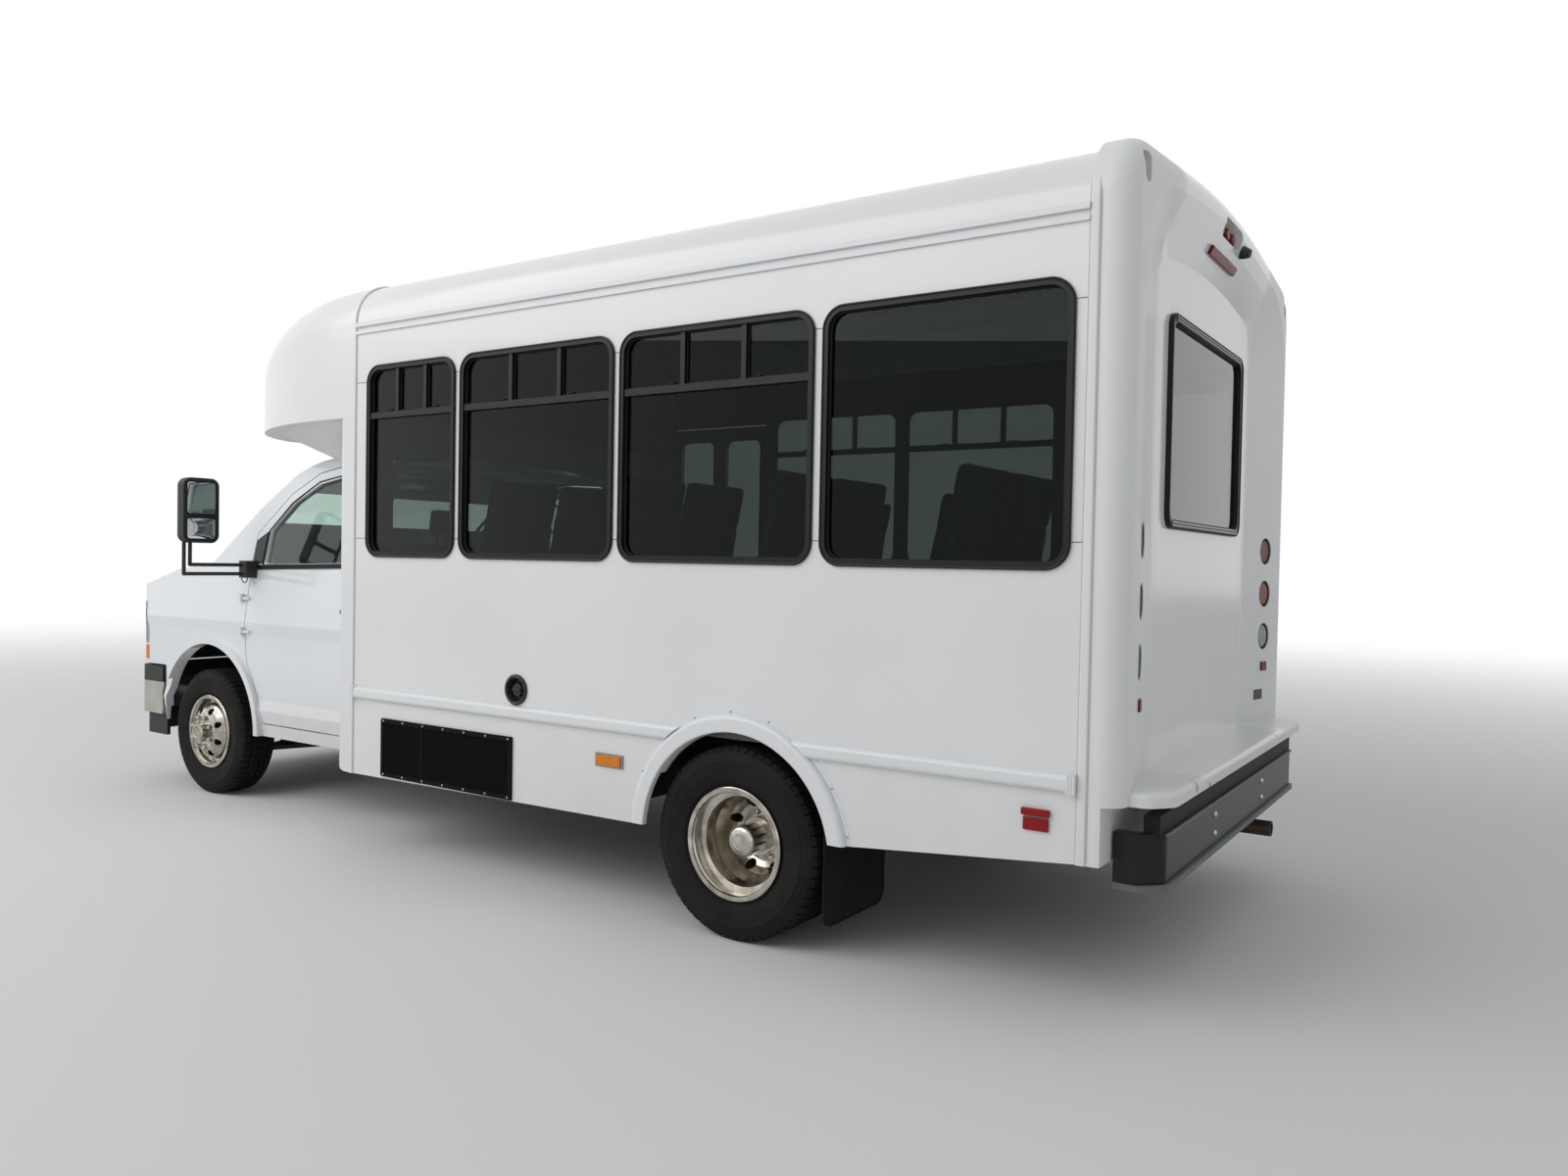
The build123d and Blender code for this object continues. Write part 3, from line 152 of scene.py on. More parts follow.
def overlaid(made, mask, code, rough=None):
    """Lays a second colour over a finish where the mask is one, with its own roughness."""
    tree = made.node_tree
    inputs = tree.nodes["Principled BSDF"].inputs
    base = inputs["Base Color"]
    below = base.links[0].from_socket if base.is_linked else list(base.default_value)
    over = add(tree, "ShaderNodeMix", [(mask, "Factor"), (below, "A")], data_type="RGBA", B=shade(code))
    tree.links.new(over.outputs["Result"], base)
    if rough:
        spread = add(tree, "ShaderNodeMapRange", [(mask, "Value")], To_Min=rough[0], To_Max=rough[1])
        tree.links.new(spread.outputs[0], inputs["Roughness"])


def dusted(made, height, grime, upper, lower, most, code):
    """Road dust on a finish, thicker from the upper level down to the lower one."""
    tree = made.node_tree
    fall = add(tree, "ShaderNodeMapRange", [(height, "Value")], From_Min=upper, From_Max=lower, To_Max=most)
    film = add(tree, "ShaderNodeMath", [(fall, 0), (grime, 1)], operation="MULTIPLY")
    overlaid(made, film, code)


def gelcoat(name, **values):
    """White gelcoat, and its axes."""
    made = finish(
        name, "E8E9E9", (("Noise", 1.3, 3.0), "ECECEB", "E0E1E3"),
        [(("Noise", 1.5, 1.0), 0.16, 0.012), (("Noise", 260.0, 1.0), 0.05, 0.0006)],
        Roughness=0.24, Coat_Roughness=0.05, **values,
    )
    tree = made.node_tree
    place = add(tree, "ShaderNodeTexCoord").outputs["Object"]
    streaks = add(tree, "ShaderNodeMapping", [(place, "Vector"), ((4.0, 4.0, 1.6), "Scale")])
    grime = add(tree, "ShaderNodeTexNoise", [(streaks, "Vector")], Scale=2.0, Detail=4.0)
    axes = axes_of(made)
    dusted(made, axes[2], grime, 0.9, 0.35, 0.22, "A39C90")
    return made, axes


def dress(made, *names):
    """Gives CAD nodes their finish."""
    for name in names:
        nodes[name].data.materials.clear()
        nodes[name].data.materials.append(made)


shell_coat, (x, y, z, across) = gelcoat("gelcoat moulded white", Coat_Weight=0.2)
tree = shell_coat.node_tree
bowed = add(tree, "ShaderNodeMath", [(y, 0), (2.0, 1)], operation="POWER")
feeds = [(bowed, 0), (1 / (2 * crown_radius), 1), (z, 2)]
crowned = add(tree, "ShaderNodeMath", feeds, operation="MULTIPLY_ADD")
walls = zone(shell_coat, (across, "LESS", lining_y), (z, "LESS", cove_foot))
ceiling = zone(shell_coat, (across, "LESS", ceiling_half), (crowned, "LESS", ceiling_top))
inside = add(tree, "ShaderNodeMath", [(walls, 0), (ceiling, 1)], operation="MAXIMUM")
overlaid(shell_coat, inside, "46484B")
dress(shell_coat, "side_walls", "roof")
dress(gelcoat("gelcoat moulded white, outer skins", Coat_Weight=0.2)[0], "front_cap", "front_wall")

# Panel seams and sealant: the side panels meet at two levels, where a dark joint shows
# between the windows, and a bead of grey urethane runs beside each raised rib at the caps.
seam_levels, seam_half, seam_proud = (1.512, 2.262), 0.0013, 0.0004
side_ends = (1.742, 5.366)
window_spans = [(1.832, 2.465), (2.498, 3.423), (3.453, 4.377), (4.410, 5.328)]
door_rear, right_window_front = 2.495, 2.530
rib_width, seal_radius = 0.0306, 0.0027


def mesh_of(shape, name="unit"):
    """The drawn shape as a mesh, its faces turned outward."""
    bmesh.ops.recalc_face_normals(shape, faces=shape.faces)
    mesh = bpy.data.meshes.new(name)
    shape.to_mesh(mesh)
    shape.free()
    return mesh


def stand(name, data):
    """Puts a mesh, a lamp or a camera in the scene."""
    made = bpy.data.objects.new(name, data)
    bpy.context.scene.collection.objects.link(made)
    return made


def piece(name, shape, made, body="bus_body", bevel=0.0, smooth=35):
    """Turns a drawn shape into a finished piece that rides on a body."""
    mesh = mesh_of(shape, name)
    mesh.materials.append(made)
    mesh.shade_smooth()
    mesh.set_sharp_from_angle(angle=math.radians(smooth))
    made_piece = stand(name, mesh)
    if bevel:
        edge = made_piece.modifiers.new("edge", "BEVEL")
        edge.width = bevel
        edge.segments = 2
        edge.limit_method = "ANGLE"
        edge.harden_normals = True
    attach(made_piece, body)
    return made_piece


def box_faces(shape, spots):
    """Six faces over two rings of four corners."""
    v = [shape.verts.new(spot) for spot in spots]
    for ring in ((3, 2, 1, 0), (4, 5, 6, 7), (0, 1, 5, 4), (1, 2, 6, 5), (2, 3, 7, 6), (3, 0, 4, 7)):
        shape.faces.new([v[number] for number in ring])


def block(shape, start, end):
    """A box between two corners."""
    a, b = start, end
    box_faces(shape, [
        (x, y, z) for z in (a[2], b[2]) for x, y in ((a[0], a[1]), (b[0], a[1]), (b[0], b[1]), (a[0], b[1]))
    ])


def rounded(points, radius, closed=True, pieces=8):
    """Points of a flat outline whose corners are turned into arcs."""
    result = []
    count = len(points)
    sizes = radius if isinstance(radius, list) else [radius] * count
    for number, point in enumerate(points):
        corner = Vector(point)
        if not sizes[number] or not closed and number in (0, count - 1):
            result.append(corner)
            continue
        back = (Vector(points[number - 1]) - corner).normalized()
        ahead = (Vector(points[(number + 1) % count]) - corner).normalized()
        half = back.angle(ahead) / 2
        centre = corner + (back + ahead).normalized() * (sizes[number] / math.sin(half))
        start = corner + back * (sizes[number] / math.tan(half)) - centre
        end = corner + ahead * (sizes[number] / math.tan(half)) - centre
        sweep = math.pi - 2 * half
        for step in range(pieces + 1):
            share = step / pieces
            arm = start * math.sin((1 - share) * sweep) + end * math.sin(share * sweep)
            result.append(centre + arm / math.sin(sweep))
    return result


def swept(shape, path, across, section, closed=False, sides=8):
    """Carries a section (aside, up), or a round bar's radius, along a flat path; across is the
    path's normal."""
    if isinstance(section, float):
        turns = [2 * math.pi * k / sides for k in range(sides)]
        section = [(section * math.cos(turn), section * math.sin(turn)) for turn in turns]
    across = Vector(across)
    path = [Vector(point) for point in path]
    rings = []
    for number, point in enumerate(path):
        first = second = None
        if closed or number > 0:
            first = (point - path[number - 1]).normalized()
        if closed or number < len(path) - 1:
            second = (path[(number + 1) % len(path)] - point).normalized()
        side_a, side_b = across.cross(first or second), across.cross(second or first)
        mitre = (side_a + side_b) / (1 + side_a.dot(side_b))
        rings.append([shape.verts.new(point + mitre * a + across * b) for a, b in section])
    size = len(section)
    for one, two in list(zip(rings, rings[1:])) + ([(rings[-1], rings[0])] if closed else []):
        for k in range(size):
            shape.faces.new((one[k], one[(k + 1) % size], two[(k + 1) % size], two[k]))
    if not closed:
        shape.faces.new(rings[0])
        shape.faces.new(rings[-1][::-1])


# Dull and nearly black, so that a seam reads as a thin gap.
joint_black = finish(
    "joint shadow, sealed black", "26282A", relief=[(("Noise", 180.0, 2.0), 0.3, 0.0004)], Roughness=0.7
)
# Chalky grey, paler where its skin has dried.
urethane = finish(
    "urethane sealant grey", "8D8C88", (("Noise", 60.0, 4.0), "B3B2AE", "D9D9D7"), Roughness=0.55
)
edges = [side_ends[0]] + [edge for span in window_spans for edge in span] + [side_ends[1]]
gaps = list(zip(edges[::2], edges[1::2]))
shape = bmesh.new()
for side, runs in ((-1, gaps), (1, [(door_rear, right_window_front)] + gaps[2:])):
    for start, end in runs:
        for level in seam_levels:
            block(
                shape, (front_axle + start, side * (side_out - 0.002), level - seam_half),
                (front_axle + end, side * (side_out + seam_proud), level + seam_half),
            )
piece("panel_seams", shape, joint_black)
shape = bmesh.new()
proud_side, proud_corner, proud_crown = (level + seam_proud for level in (side_out, 2.745, 2.845))
for x, foot in (
    (side_ends[0] - 0.0012 - rib_width, 0.372), (side_ends[0] + 0.0012, 0.372),
    (side_ends[1] - 0.0012, 0.525), (side_ends[1] + 0.0012 + rib_width, 0.525),
):
    outline = [
        (-proud_side, foot), (-proud_side, proud_corner), (0.0, proud_crown), (proud_side, proud_corner),
        (proud_side, foot),
    ]
    bends = [0, 0.205 + seam_proud, crown_radius, 0.205 + seam_proud, 0]
    flat = rounded(outline, bends, False, 16)
    swept(shape, [(front_axle + x, *p) for p in flat], (1, 0, 0), seal_radius, sides=6)
piece("seam_sealant", shape, urethane)

# Side trim: the rub rail is a snap-in white vinyl moulding with grooved end caps, the wheel
# flares are moulded rubber-flanged rings, riveted through their thin outer flange.
flare_x, flare_z = front_axle + 4.055, 0.365
flange_ring, flange_half, flange_thick = 0.504, 0.009, 0.0016
flare_start, flare_end, flare_steps = math.radians(9.3), math.radians(176.0), 56
rail_z, rail_out = (0.736, 0.793), side_out + 0.0253
rail_ends = (1.742, 5.338)
rivet_count, rivet_radius = 9, 0.0045
# Drawn out lengthwise, so its sheen lies in long faint streaks.
vinyl_white = finish(
    "vinyl extruded white", "E3E4E5", (("Noise", 4.0, 3.0), "E0E1E3", "E8E9EA"),
    [(("Noise", 4.0, 3.0), 0.06, 0.001)], stretch=(0.6, 30.0, 30.0), Roughness=0.34, Coat_Weight=0.15,
)
dress(vinyl_white, "side_trim")
shape = bmesh.new()
thin = flange_thick / 2
for side in (-1, 1):
    turns = [flare_start + (flare_end - flare_start) * k / flare_steps for k in range(flare_steps + 1)]
    path = [
        (flare_x + flange_ring * math.cos(t), side * (side_out + thin), flare_z + flange_ring * math.sin(t))
        for t in turns
    ]
    section = [(-flange_half, -thin), (flange_half, -thin), (flange_half, thin), (-flange_half, thin)]
    swept(shape, path, (0, 1, 0), section)
    for start in rail_ends[:: 1 if side < 0 else -1][: 2 if side < 0 else 1]:
        for k in range(3):
            x = front_axle + start + 0.0002 + k * 0.0095
            block(
                shape, (x, side * (side_out + 0.0005), rail_z[0] - 0.003),
                (x + 0.0085, side * (rail_out + 0.003), rail_z[1] + 0.003),
            )
piece("flare_flanges_and_rail_ends", shape, vinyl_white, bevel=0.0008)


def repeat_tree():
    """Geometry Nodes tree that sets a unit Count times, each a step further on and turned an arc
    further round the Y axis, and gives the pieces their material."""
    group = bpy.data.node_groups.new("pieces in a row or round an axis", "GeometryNodeTree")
    for label, kind in (
        ("Geometry", "Geometry"), ("Count", "Int"), ("Step", "Vector"), ("Phase", "Float"), ("Arc", "Float"),
        ("Finish", "Material"),
    ):
        group.interface.new_socket(label, in_out="INPUT", socket_type="NodeSocket" + kind)
    group.interface.new_socket("Geometry", in_out="OUTPUT", socket_type="NodeSocketGeometry")
    source = add(group, "NodeGroupInput").outputs
    index = add(group, "GeometryNodeInputIndex")
    moved = add(group, "ShaderNodeVectorMath", [(source["Step"], 0), (index, "Scale")], operation="SCALE")
    share = add(group, "ShaderNodeMath", [(index, 0), (source["Arc"], 1)], operation="MULTIPLY")
    turn = add(group, "ShaderNodeMath", [(share, 0), (source["Phase"], 1)])
    angles = add(group, "ShaderNodeCombineXYZ", [(turn, "Y")])
    points = add(group, "GeometryNodePoints", [(source["Count"], "Count"), (moved, "Position")])
    feeds = [(points, "Points"), (source["Geometry"], "Instance"), (angles, "Rotation")]
    placed = add(group, "GeometryNodeInstanceOnPoints", feeds)
    real = add(group, "GeometryNodeRealizeInstances", [(placed, "Geometry")])
    painted = add(group, "GeometryNodeSetMaterial", [(real, "Geometry"), (source["Finish"], "Material")])
    add(group, "NodeGroupOutput", [(painted, "Geometry")])
    return group


def settled(holder):
    """The mesh that an object's modifiers make."""
    bpy.context.view_layer.update()
    return bpy.data.meshes.new_from_object(holder.evaluated_get(bpy.context.evaluated_depsgraph_get()))


def copies(shape, places, whole=None):
    """A shape or mesh set at several places, as one new shape or added to a given one."""
    single = shape if isinstance(shape, bpy.types.Mesh) else mesh_of(shape)
    whole = bmesh.new() if whole is None else whole
    for place in places:
        copy = single.copy()
        copy.transform(place)
        whole.from_mesh(copy)
        bpy.data.meshes.remove(copy)
    return whole


def repeated(shape, made, places, **inputs):
    """A drawn unit repeated by the tree, as one plain mesh shape at each given place."""
    holder = stand("unit", mesh_of(shape))
    modifier = holder.modifiers.new("repeat", "NODES")
    modifier.node_group = repeats
    inputs["Finish"] = made
    for item in repeats.interface.items_tree:
        if item.name in inputs:
            modifier[item.identifier] = inputs[item.name]
    holder.update_tag()
    result = settled(holder)
    bpy.data.objects.remove(holder)
    return copies(result, places)


def lathe(shape, profile, centre, axis, count=24, closed=False):
    """Turned form; the profile's points are (distance along the axis, radius)."""
    axis = Vector(axis).normalized()
    side = axis.orthogonal().normalized()
    other = axis.cross(side)
    turns = [2 * math.pi * k / count for k in range(count)]
    rings = []
    for along, radius in profile:
        middle = Vector(centre) + axis * along
        arms = [side * math.cos(t) + other * math.sin(t) for t in turns] if radius > 1e-6 else [Vector()]
        rings.append([shape.verts.new(middle + arm * radius) for arm in arms])
    for one, two in list(zip(rings, rings[1:])) + ([(rings[-1], rings[0])] if closed else []):
        for k in range(count if len(one) + len(two) > 2 else 0):
            j = (k + 1) % count
            if len(one) == 1:
                shape.faces.new((one[0], two[k], two[j]))
            elif len(two) == 1:
                shape.faces.new((one[k], one[j], two[0]))
            else:
                shape.faces.new((one[k], one[j], two[j], two[k]))


repeats = repeat_tree()
# Bare soft metal with a broad dull glint.
rivet_metal = finish(
    "aluminium rivet, bare", "9C9C9B", relief=[(("Noise", 400.0, 2.0), 0.2, 0.0003)],
    Metallic=1.0, Roughness=0.42,
)
shape = bmesh.new()
profile = [(0, rivet_radius), (0.0012, rivet_radius), (0.0026, rivet_radius * 0.6), (0.003, 0)]
lathe(shape, profile, (flange_ring + 0.002, 0, 0), (0, 1, 0), 8)
places = []
for side in (-1, 1):
    spot = (flare_x, side * (side_out + flange_thick), flare_z)
    places.append(Matrix.Translation(spot) @ Matrix.Diagonal((1, side, 1, 1)))
rivets = repeated(
    shape, rivet_metal, places, Count=rivet_count, Phase=-(flare_end - 0.06),
    Arc=(flare_end - flare_start - 0.12) / (rivet_count - 1),
)
piece("flare_rivets", rivets, rivet_metal)

# Passenger windows: aluminium frames powder coated satin black, with a rolled outer lip and
# a rubber glazing bead round each pane; the sliding top panes have small pull latches.
window_z, window_corner, pane_inset = (1.422, 2.337), 0.085, 0.0235
split_z, bar_half, mullion_half = 2.097, 0.014, 0.011
mullion_shares = (0.345, 0.66)
lip_inset, bead_inset = 0.005, pane_inset + 0.001
# A fine pebbled black that spreads each reflection.
powder = finish(
    "aluminium powder coated black", "111213", (("Noise", 7.0, 3.0), "0D0E0F", "1B1C1D"),
    [(("Noise", 700.0, 2.0), 0.25, 0.0004)], Roughness=0.36, Specular_IOR_Level=0.28,
)
dress(powder, "window_frames", "entry_leaf_front", "entry_leaf_rear")
# Flat black with hardly a highlight.
glazing = finish(
    "rubber extruded black", "0B0B0C", relief=[(("Noise", 300.0, 3.0), 0.2, 0.0004)],
    Roughness=0.62, Specular_IOR_Level=0.28,
)


def rounded_box(start, end, bottom, top, corner):
    """Flat rounded rectangle."""
    return rounded([(start, bottom), (end, bottom), (end, top), (start, top)], corner)


def frame_path(box, inset, corner, fixed, axis="y"):
    """Rounded rectangle set in from a box, on a side wall (fixed y) or the rear wall (fixed x)."""
    flat = rounded_box(box[0] + inset, box[1] - inset, box[2] + inset, box[3] - inset, corner)
    return [(fixed, *p) if axis == "x" else (p[0], fixed, p[1]) for p in flat]


lips, beads, latches = bmesh.new(), bmesh.new(), bmesh.new()
for side, spans in ((-1, window_spans), (1, [(right_window_front, 3.423)] + window_spans[2:])):
    skin, seat = side * (side_out + 0.0093), side * (side_out - 0.0125)
    for start, end in spans:
        a, b = front_axle + start, front_axle + end
        box = (a, b) + window_z
        swept(lips, frame_path(box, lip_inset, window_corner - lip_inset, skin), (0, 1, 0), 0.0038, True)
        swept(beads, frame_path(box, bead_inset, window_corner - bead_inset, seat), (0, 1, 0), 0.0048, True)
        if (start, end) == window_spans[-1]:
            continue
        cuts = [a + pane_inset] + [a + (end - start) * share for share in mullion_shares] + [b - pane_inset]
        for number in range(3):
            left = cuts[number] + (mullion_half if number else 0)
            right = cuts[number + 1] - (mullion_half if number < 2 else 0)
            pane = (left, right, split_z + bar_half, window_z[1] - pane_inset)
            swept(beads, frame_path(pane, 0.003, 0.012, seat), (0, 1, 0), 0.0034, True, 6)
        for cut in (cuts[1] - 0.06, cuts[2] + 0.06):
            block(
                latches, (cut - 0.016, side * (side_out - 0.016), split_z + 0.020),
                (cut + 0.016, side * (side_out - 0.006), split_z + 0.027),
            )
piece("window_frame_lips", lips, powder)
piece("window_glazing_beads", beads, glazing)
piece("window_latches", latches, glazing, bevel=0.0015)

# Glass: coach panes are 5 mm toughened sheet tinted dark grey in the melt, through which seats
# and far windows show only faintly; the laminated windscreen and the cab's door panes are
# nearly clear with a green cast. A faint film of dust lies on both.
tint = finish(
    "glass toughened dark tint", "767F7C", (("Noise", 3.0, 6.0), "707976", "7C8582"), Roughness=0.0,
    Transmission_Weight=1.0, IOR=1.45, Specular_Tint=shade("8A8E90"), Specular_IOR_Level=0.08,
)
dress(tint, "body_glass", "entry_glass_front", "entry_glass_rear")
# Nearly colourless with a green cast, unevenly dusty.
clear = finish(
    "glass laminated clear", "D7E6DF", (("Noise", 5.0, 5.0), "C6D8D0", "DCEAE4"), Roughness=0.01,
    Transmission_Weight=1.0, IOR=1.45,
)
dress(clear, "door_glass_left", "door_glass_right", "windshield")

# Rear window: a push-out pane in a thick black frame with an anodised hinge extrusion along
# its head and sill, each a pair of round ribs.
rear_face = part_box("rear_cap")[1].x
sash = (-0.5575, 0.5575, 1.579, 2.344)
sash_x = front_axle + 5.439
# Satin grey with fine lines along the extrusion.
anodised = finish(
    "aluminium anodised grey", "7F8386", relief=[(("Noise", 30.0, 2.0), 0.2, 0.0005)],
    stretch=(1.0, 0.3, 60.0), Metallic=1.0, Roughness=0.34,
)
shape = bmesh.new()
for level in (sash[3] - 0.013, sash[3] - 0.024, sash[2] + 0.012, sash[2] + 0.023):
    path = [(sash_x + 0.001, sash[0] + 0.05, level), (sash_x + 0.001, sash[1] - 0.05, level)]
    swept(shape, path, (1, 0, 0), 0.0042, sides=10)
piece("rear_window_hinge_ribs", shape, anodised)
shape = bmesh.new()
for inset, corner, depth, radius in ((0.005, 0.055, 0.0, 0.0045), (0.0305, 0.044, 0.015, 0.005)):
    swept(shape, frame_path(sash, inset, corner, sash_x - depth, "x"), (1, 0, 0), radius, True)
piece("rear_window_rubber", shape, glazing)

# Rear cap: the same gelcoat, with a gritted anti-slip top on the step shelf, which glitters
# finely, and scuffs worn grey along the step's rounded edge.
shelf_top, shelf_front, shelf_edge = 0.7475, front_axle + 5.43, front_axle + 5.60
flank_from, flank_to = 0.66, 0.74
cap_coat, (x, y, z, across) = gelcoat("gelcoat moulded white, gritted step", Coat_Weight=0.12)
tree = cap_coat.node_tree
inputs = tree.nodes["Principled BSDF"].inputs
place = add(tree, "ShaderNodeTexCoord").outputs["Object"]
on_shelf = zone(cap_coat, (z, "LESS", shelf_top), (x, "GREATER", shelf_front))
grit = add(tree, "ShaderNodeTexVoronoi", [(place, "Vector")], Scale=330.0)
height = add(tree, "ShaderNodeMath", [(grit, 0), (on_shelf, 1)], operation="MULTIPLY")
feeds = [(height, "Height"), (inputs["Normal"].links[0].from_socket, "Normal")]
bump = add(tree, "ShaderNodeBump", feeds, Strength=0.5, Distance=0.0012)
tree.links.new(bump.outputs["Normal"], inputs["Normal"])
edge_zone = add(tree, "ShaderNodeMapRange", [(x, "Value")], From_Min=shelf_edge, From_Max=shelf_edge + 0.022)
rub = add(tree, "ShaderNodeTexNoise", [(place, "Vector")], Scale=9.0, Detail=5.0)
worn = add(tree, "ShaderNodeMapRange", [(rub, "Value")], From_Min=0.60, From_Max=0.66)
scuff = add(tree, "ShaderNodeMath", [(edge_zone, 0), (worn, 1)], operation="MULTIPLY")
overlaid(cap_coat, scuff, "8C8A84")
flank = add(
    tree, "ShaderNodeMapRange", [(across, "Value")],
    From_Min=flank_from, From_Max=flank_to, To_Min=0.16, To_Max=0.5,
)
tree.links.new(flank.outputs[0], inputs["Roughness"])
dress(cap_coat, "rear_cap")

# Tail lamps: round sealed lamps in black rubber grommets, from the top red, amber and clear,
# with small moulded prisms; red clearance lamps in the brow and a long high stop lamp.
flank_angle = math.atan2(0.065, 0.330)
lamp_y, lamp_heights = 0.964, (1.525, 1.329, 1.133)
lamp_x = front_axle + 5.425 + (lamp_y - 0.72) * 0.065 / 0.330
band_reach = 3.0
# Small prisms, drawn 7 mm wide so that they show, with painted shade darkening their rims.
lens = finish(
    "acrylic moulded lens", "7A120E", relief=[(("Voronoi", 150.0, 0.12), 0.5, 0.0015)],
    Roughness=0.26, Specular_IOR_Level=0.3,
)
tree = lens.node_tree
share = add(tree, "ShaderNodeMath", [(axes_of(lens)[2], 0), (band_reach, 1)], operation="DIVIDE")
bands = add(tree, "ShaderNodeValToRGB", [(share, "Fac")])
stops = bands.color_ramp.elements
bands.color_ramp.interpolation = "CONSTANT"
stops[0].color = shade("8E1512")
stops[1].position = 1.05 / band_reach
stops[1].color = shade("B9BEC0")
for level, code in ((1.23, "9A4A16"), (1.43, "6E140E"), (1.7, "8E1512")):
    stops.new(level / band_reach).color = shade(code)
prisms = tree.nodes["Voronoi Texture"].outputs["Distance"]
# Painted shade: each prism's colour darkens towards its rim.
dark = add(tree, "ShaderNodeMapRange", [(prisms, "Value")], From_Max=0.7, To_Min=1.0, To_Max=0.45)
shaded = add(
    tree, "ShaderNodeMix", [(bands, "A"), (dark, "B")], data_type="RGBA", blend_type="MULTIPLY", Factor=1.0
)
tree.links.new(shaded.outputs["Result"], tree.nodes["Principled BSDF"].inputs["Base Color"])
dress(lens, "tail_lamps")
grommets = bmesh.new()
profile = [(-0.009, 0.0605), (-0.004, 0.0600), (-0.0025, 0.0570), (-0.0025, 0.0530), (-0.009, 0.0522)]
for side in (-1, 1):
    outward = Vector((math.cos(flank_angle), -side * math.sin(flank_angle), 0))
    for level in lamp_heights:
        lathe(grommets, profile, (lamp_x, side * lamp_y, level), outward, 40, True)
piece("tail_lamp_grommets", grommets, glazing)

# Rear view camera and corner plaque: a stubby grained housing with a hooded eye beside the
# brow lamps, and a small dark aluminium plate low on the right flank.
plaque_half = (0.046, 0.023)
# Its grain breaks a highlight to a grey bloom.
polymer = finish(
    "polypropylene grained black", "17181A", (("Noise", 6.0, 4.0), "131415", "242628"),
    [(("Voronoi", 420.0), 0.25, 0.0006)], Roughness=0.55,
)
# Dull metal under uneven ink.
plate_dark = finish(
    "aluminium plate, printed dark", "3A3B34", (("Noise", 90.0, 3.0), "2A2B26", "53523F"),
    Metallic=0.6, Roughness=0.4,
)


def tree_of(name):
    """Ray-casting tree of a CAD node, used to seat a piece on its real surface."""
    shape = bmesh.new()
    shape.from_mesh(nodes[name].data)
    made = BVHTree.FromBMesh(shape)
    shape.free()
    return made


cap_skin = tree_of("rear_cap")
eye, corner = (
    cap_skin.ray_cast(Vector((rear_face + 0.5, y, z)), Vector((-1, 0, 0)))
    for y, z in ((0.19, 2.712), (0.918, 0.866))
)
shape = bmesh.new()
profile = [
    (-0.004, 0), (-0.004, 0.026), (0.006, 0.026), (0.022, 0.021), (0.034, 0.017), (0.034, 0.012),
    (0.030, 0.010), (0.032, 0),
]
lathe(shape, profile, eye[0], (0.96, 0, -0.28))
piece("rear_view_camera", shape, polymer)
shape = bmesh.new()
block(shape, (-0.001, -plaque_half[0], -plaque_half[1]), (0.0012,) + plaque_half)
turn = Vector((1, 0, 0)).rotation_difference(corner[1]).to_matrix().to_4x4()
shape.transform(Matrix.Translation(corner[0]) @ turn)
piece("rear_corner_plaque", shape, plate_dark, bevel=0.0006)

# Rear bumper: pressed steel channel, gloss black, with a grey rubber lip along the top and
# a wider one along the bottom; round-head bolts hold it to the two frame brackets.
bumper_face, lower_lip, upper_lip = front_axle + 5.590, 0.4505, 0.5995
bolt_y, bolt_z, bolt_pitch = 0.40, 0.490, 0.068
gap_shade_half, gap_shade_pads = 1.070, (-0.840, -0.280, 0.280, 0.840)
# Deep black gloss, clouded brown where dirt clings.
bumper_paint = finish(
    "steel enamelled gloss black", "0A0B0C", (("Noise", 14.0, 6.0), "08090A", "232120"),
    Specular_IOR_Level=0.3,
)
x, y, z, across = axes_of(bumper_paint)
lower = zone(bumper_paint, (z, "LESS", lower_lip))
upper = zone(bumper_paint, (z, "GREATER", upper_lip), (x, "GREATER", bumper_face + 0.0012))
lips = add(bumper_paint.node_tree, "ShaderNodeMath", [(lower, 0), (upper, 1)], operation="MAXIMUM")
overlaid(bumper_paint, lips, "6B6E71", (0.3, 0.6))
dress(bumper_paint, "rear_bumper")
# Bright metal with pale and dark flecks of plating.
zinc = finish(
    "steel zinc plated", "A9AAA8", (("Noise", 120.0, 3.0), "8F8F8C", "BDBEBC"), Metallic=1.0, Roughness=0.3
)
shape = bmesh.new()
profile = [(-0.002, 0), (-0.002, 0.013), (0.002, 0.013), (0.006, 0.0105), (0.0085, 0.006), (0.0092, 0)]
lathe(shape, profile, (0, 0, 0), (1, 0, 0), 16)
places = [Matrix.Translation((bumper_face - 0.001, y, bolt_z)) for y in (-bolt_y, bolt_y)]
piece("rear_bumper_bolts", repeated(shape, zinc, places, Count=2, Step=(0.0, 0.0, bolt_pitch)), zinc)
# Painted shade: a black block with four pads on it fills the gap between the bumper and the step shelf, and
# stands in for the shade there.
shape = bmesh.new()
block(shape, (bumper_face - 0.062, -gap_shade_half, 0.604), (bumper_face - 0.010, gap_shade_half, 0.668))
for y in gap_shade_pads:
    block(shape, (bumper_face - 0.030, y - 0.045, 0.660), (bumper_face - 0.006, y + 0.045, 0.676))
piece("rear_bumper_gap_shade_fill", shape, glazing, bevel=0.004)

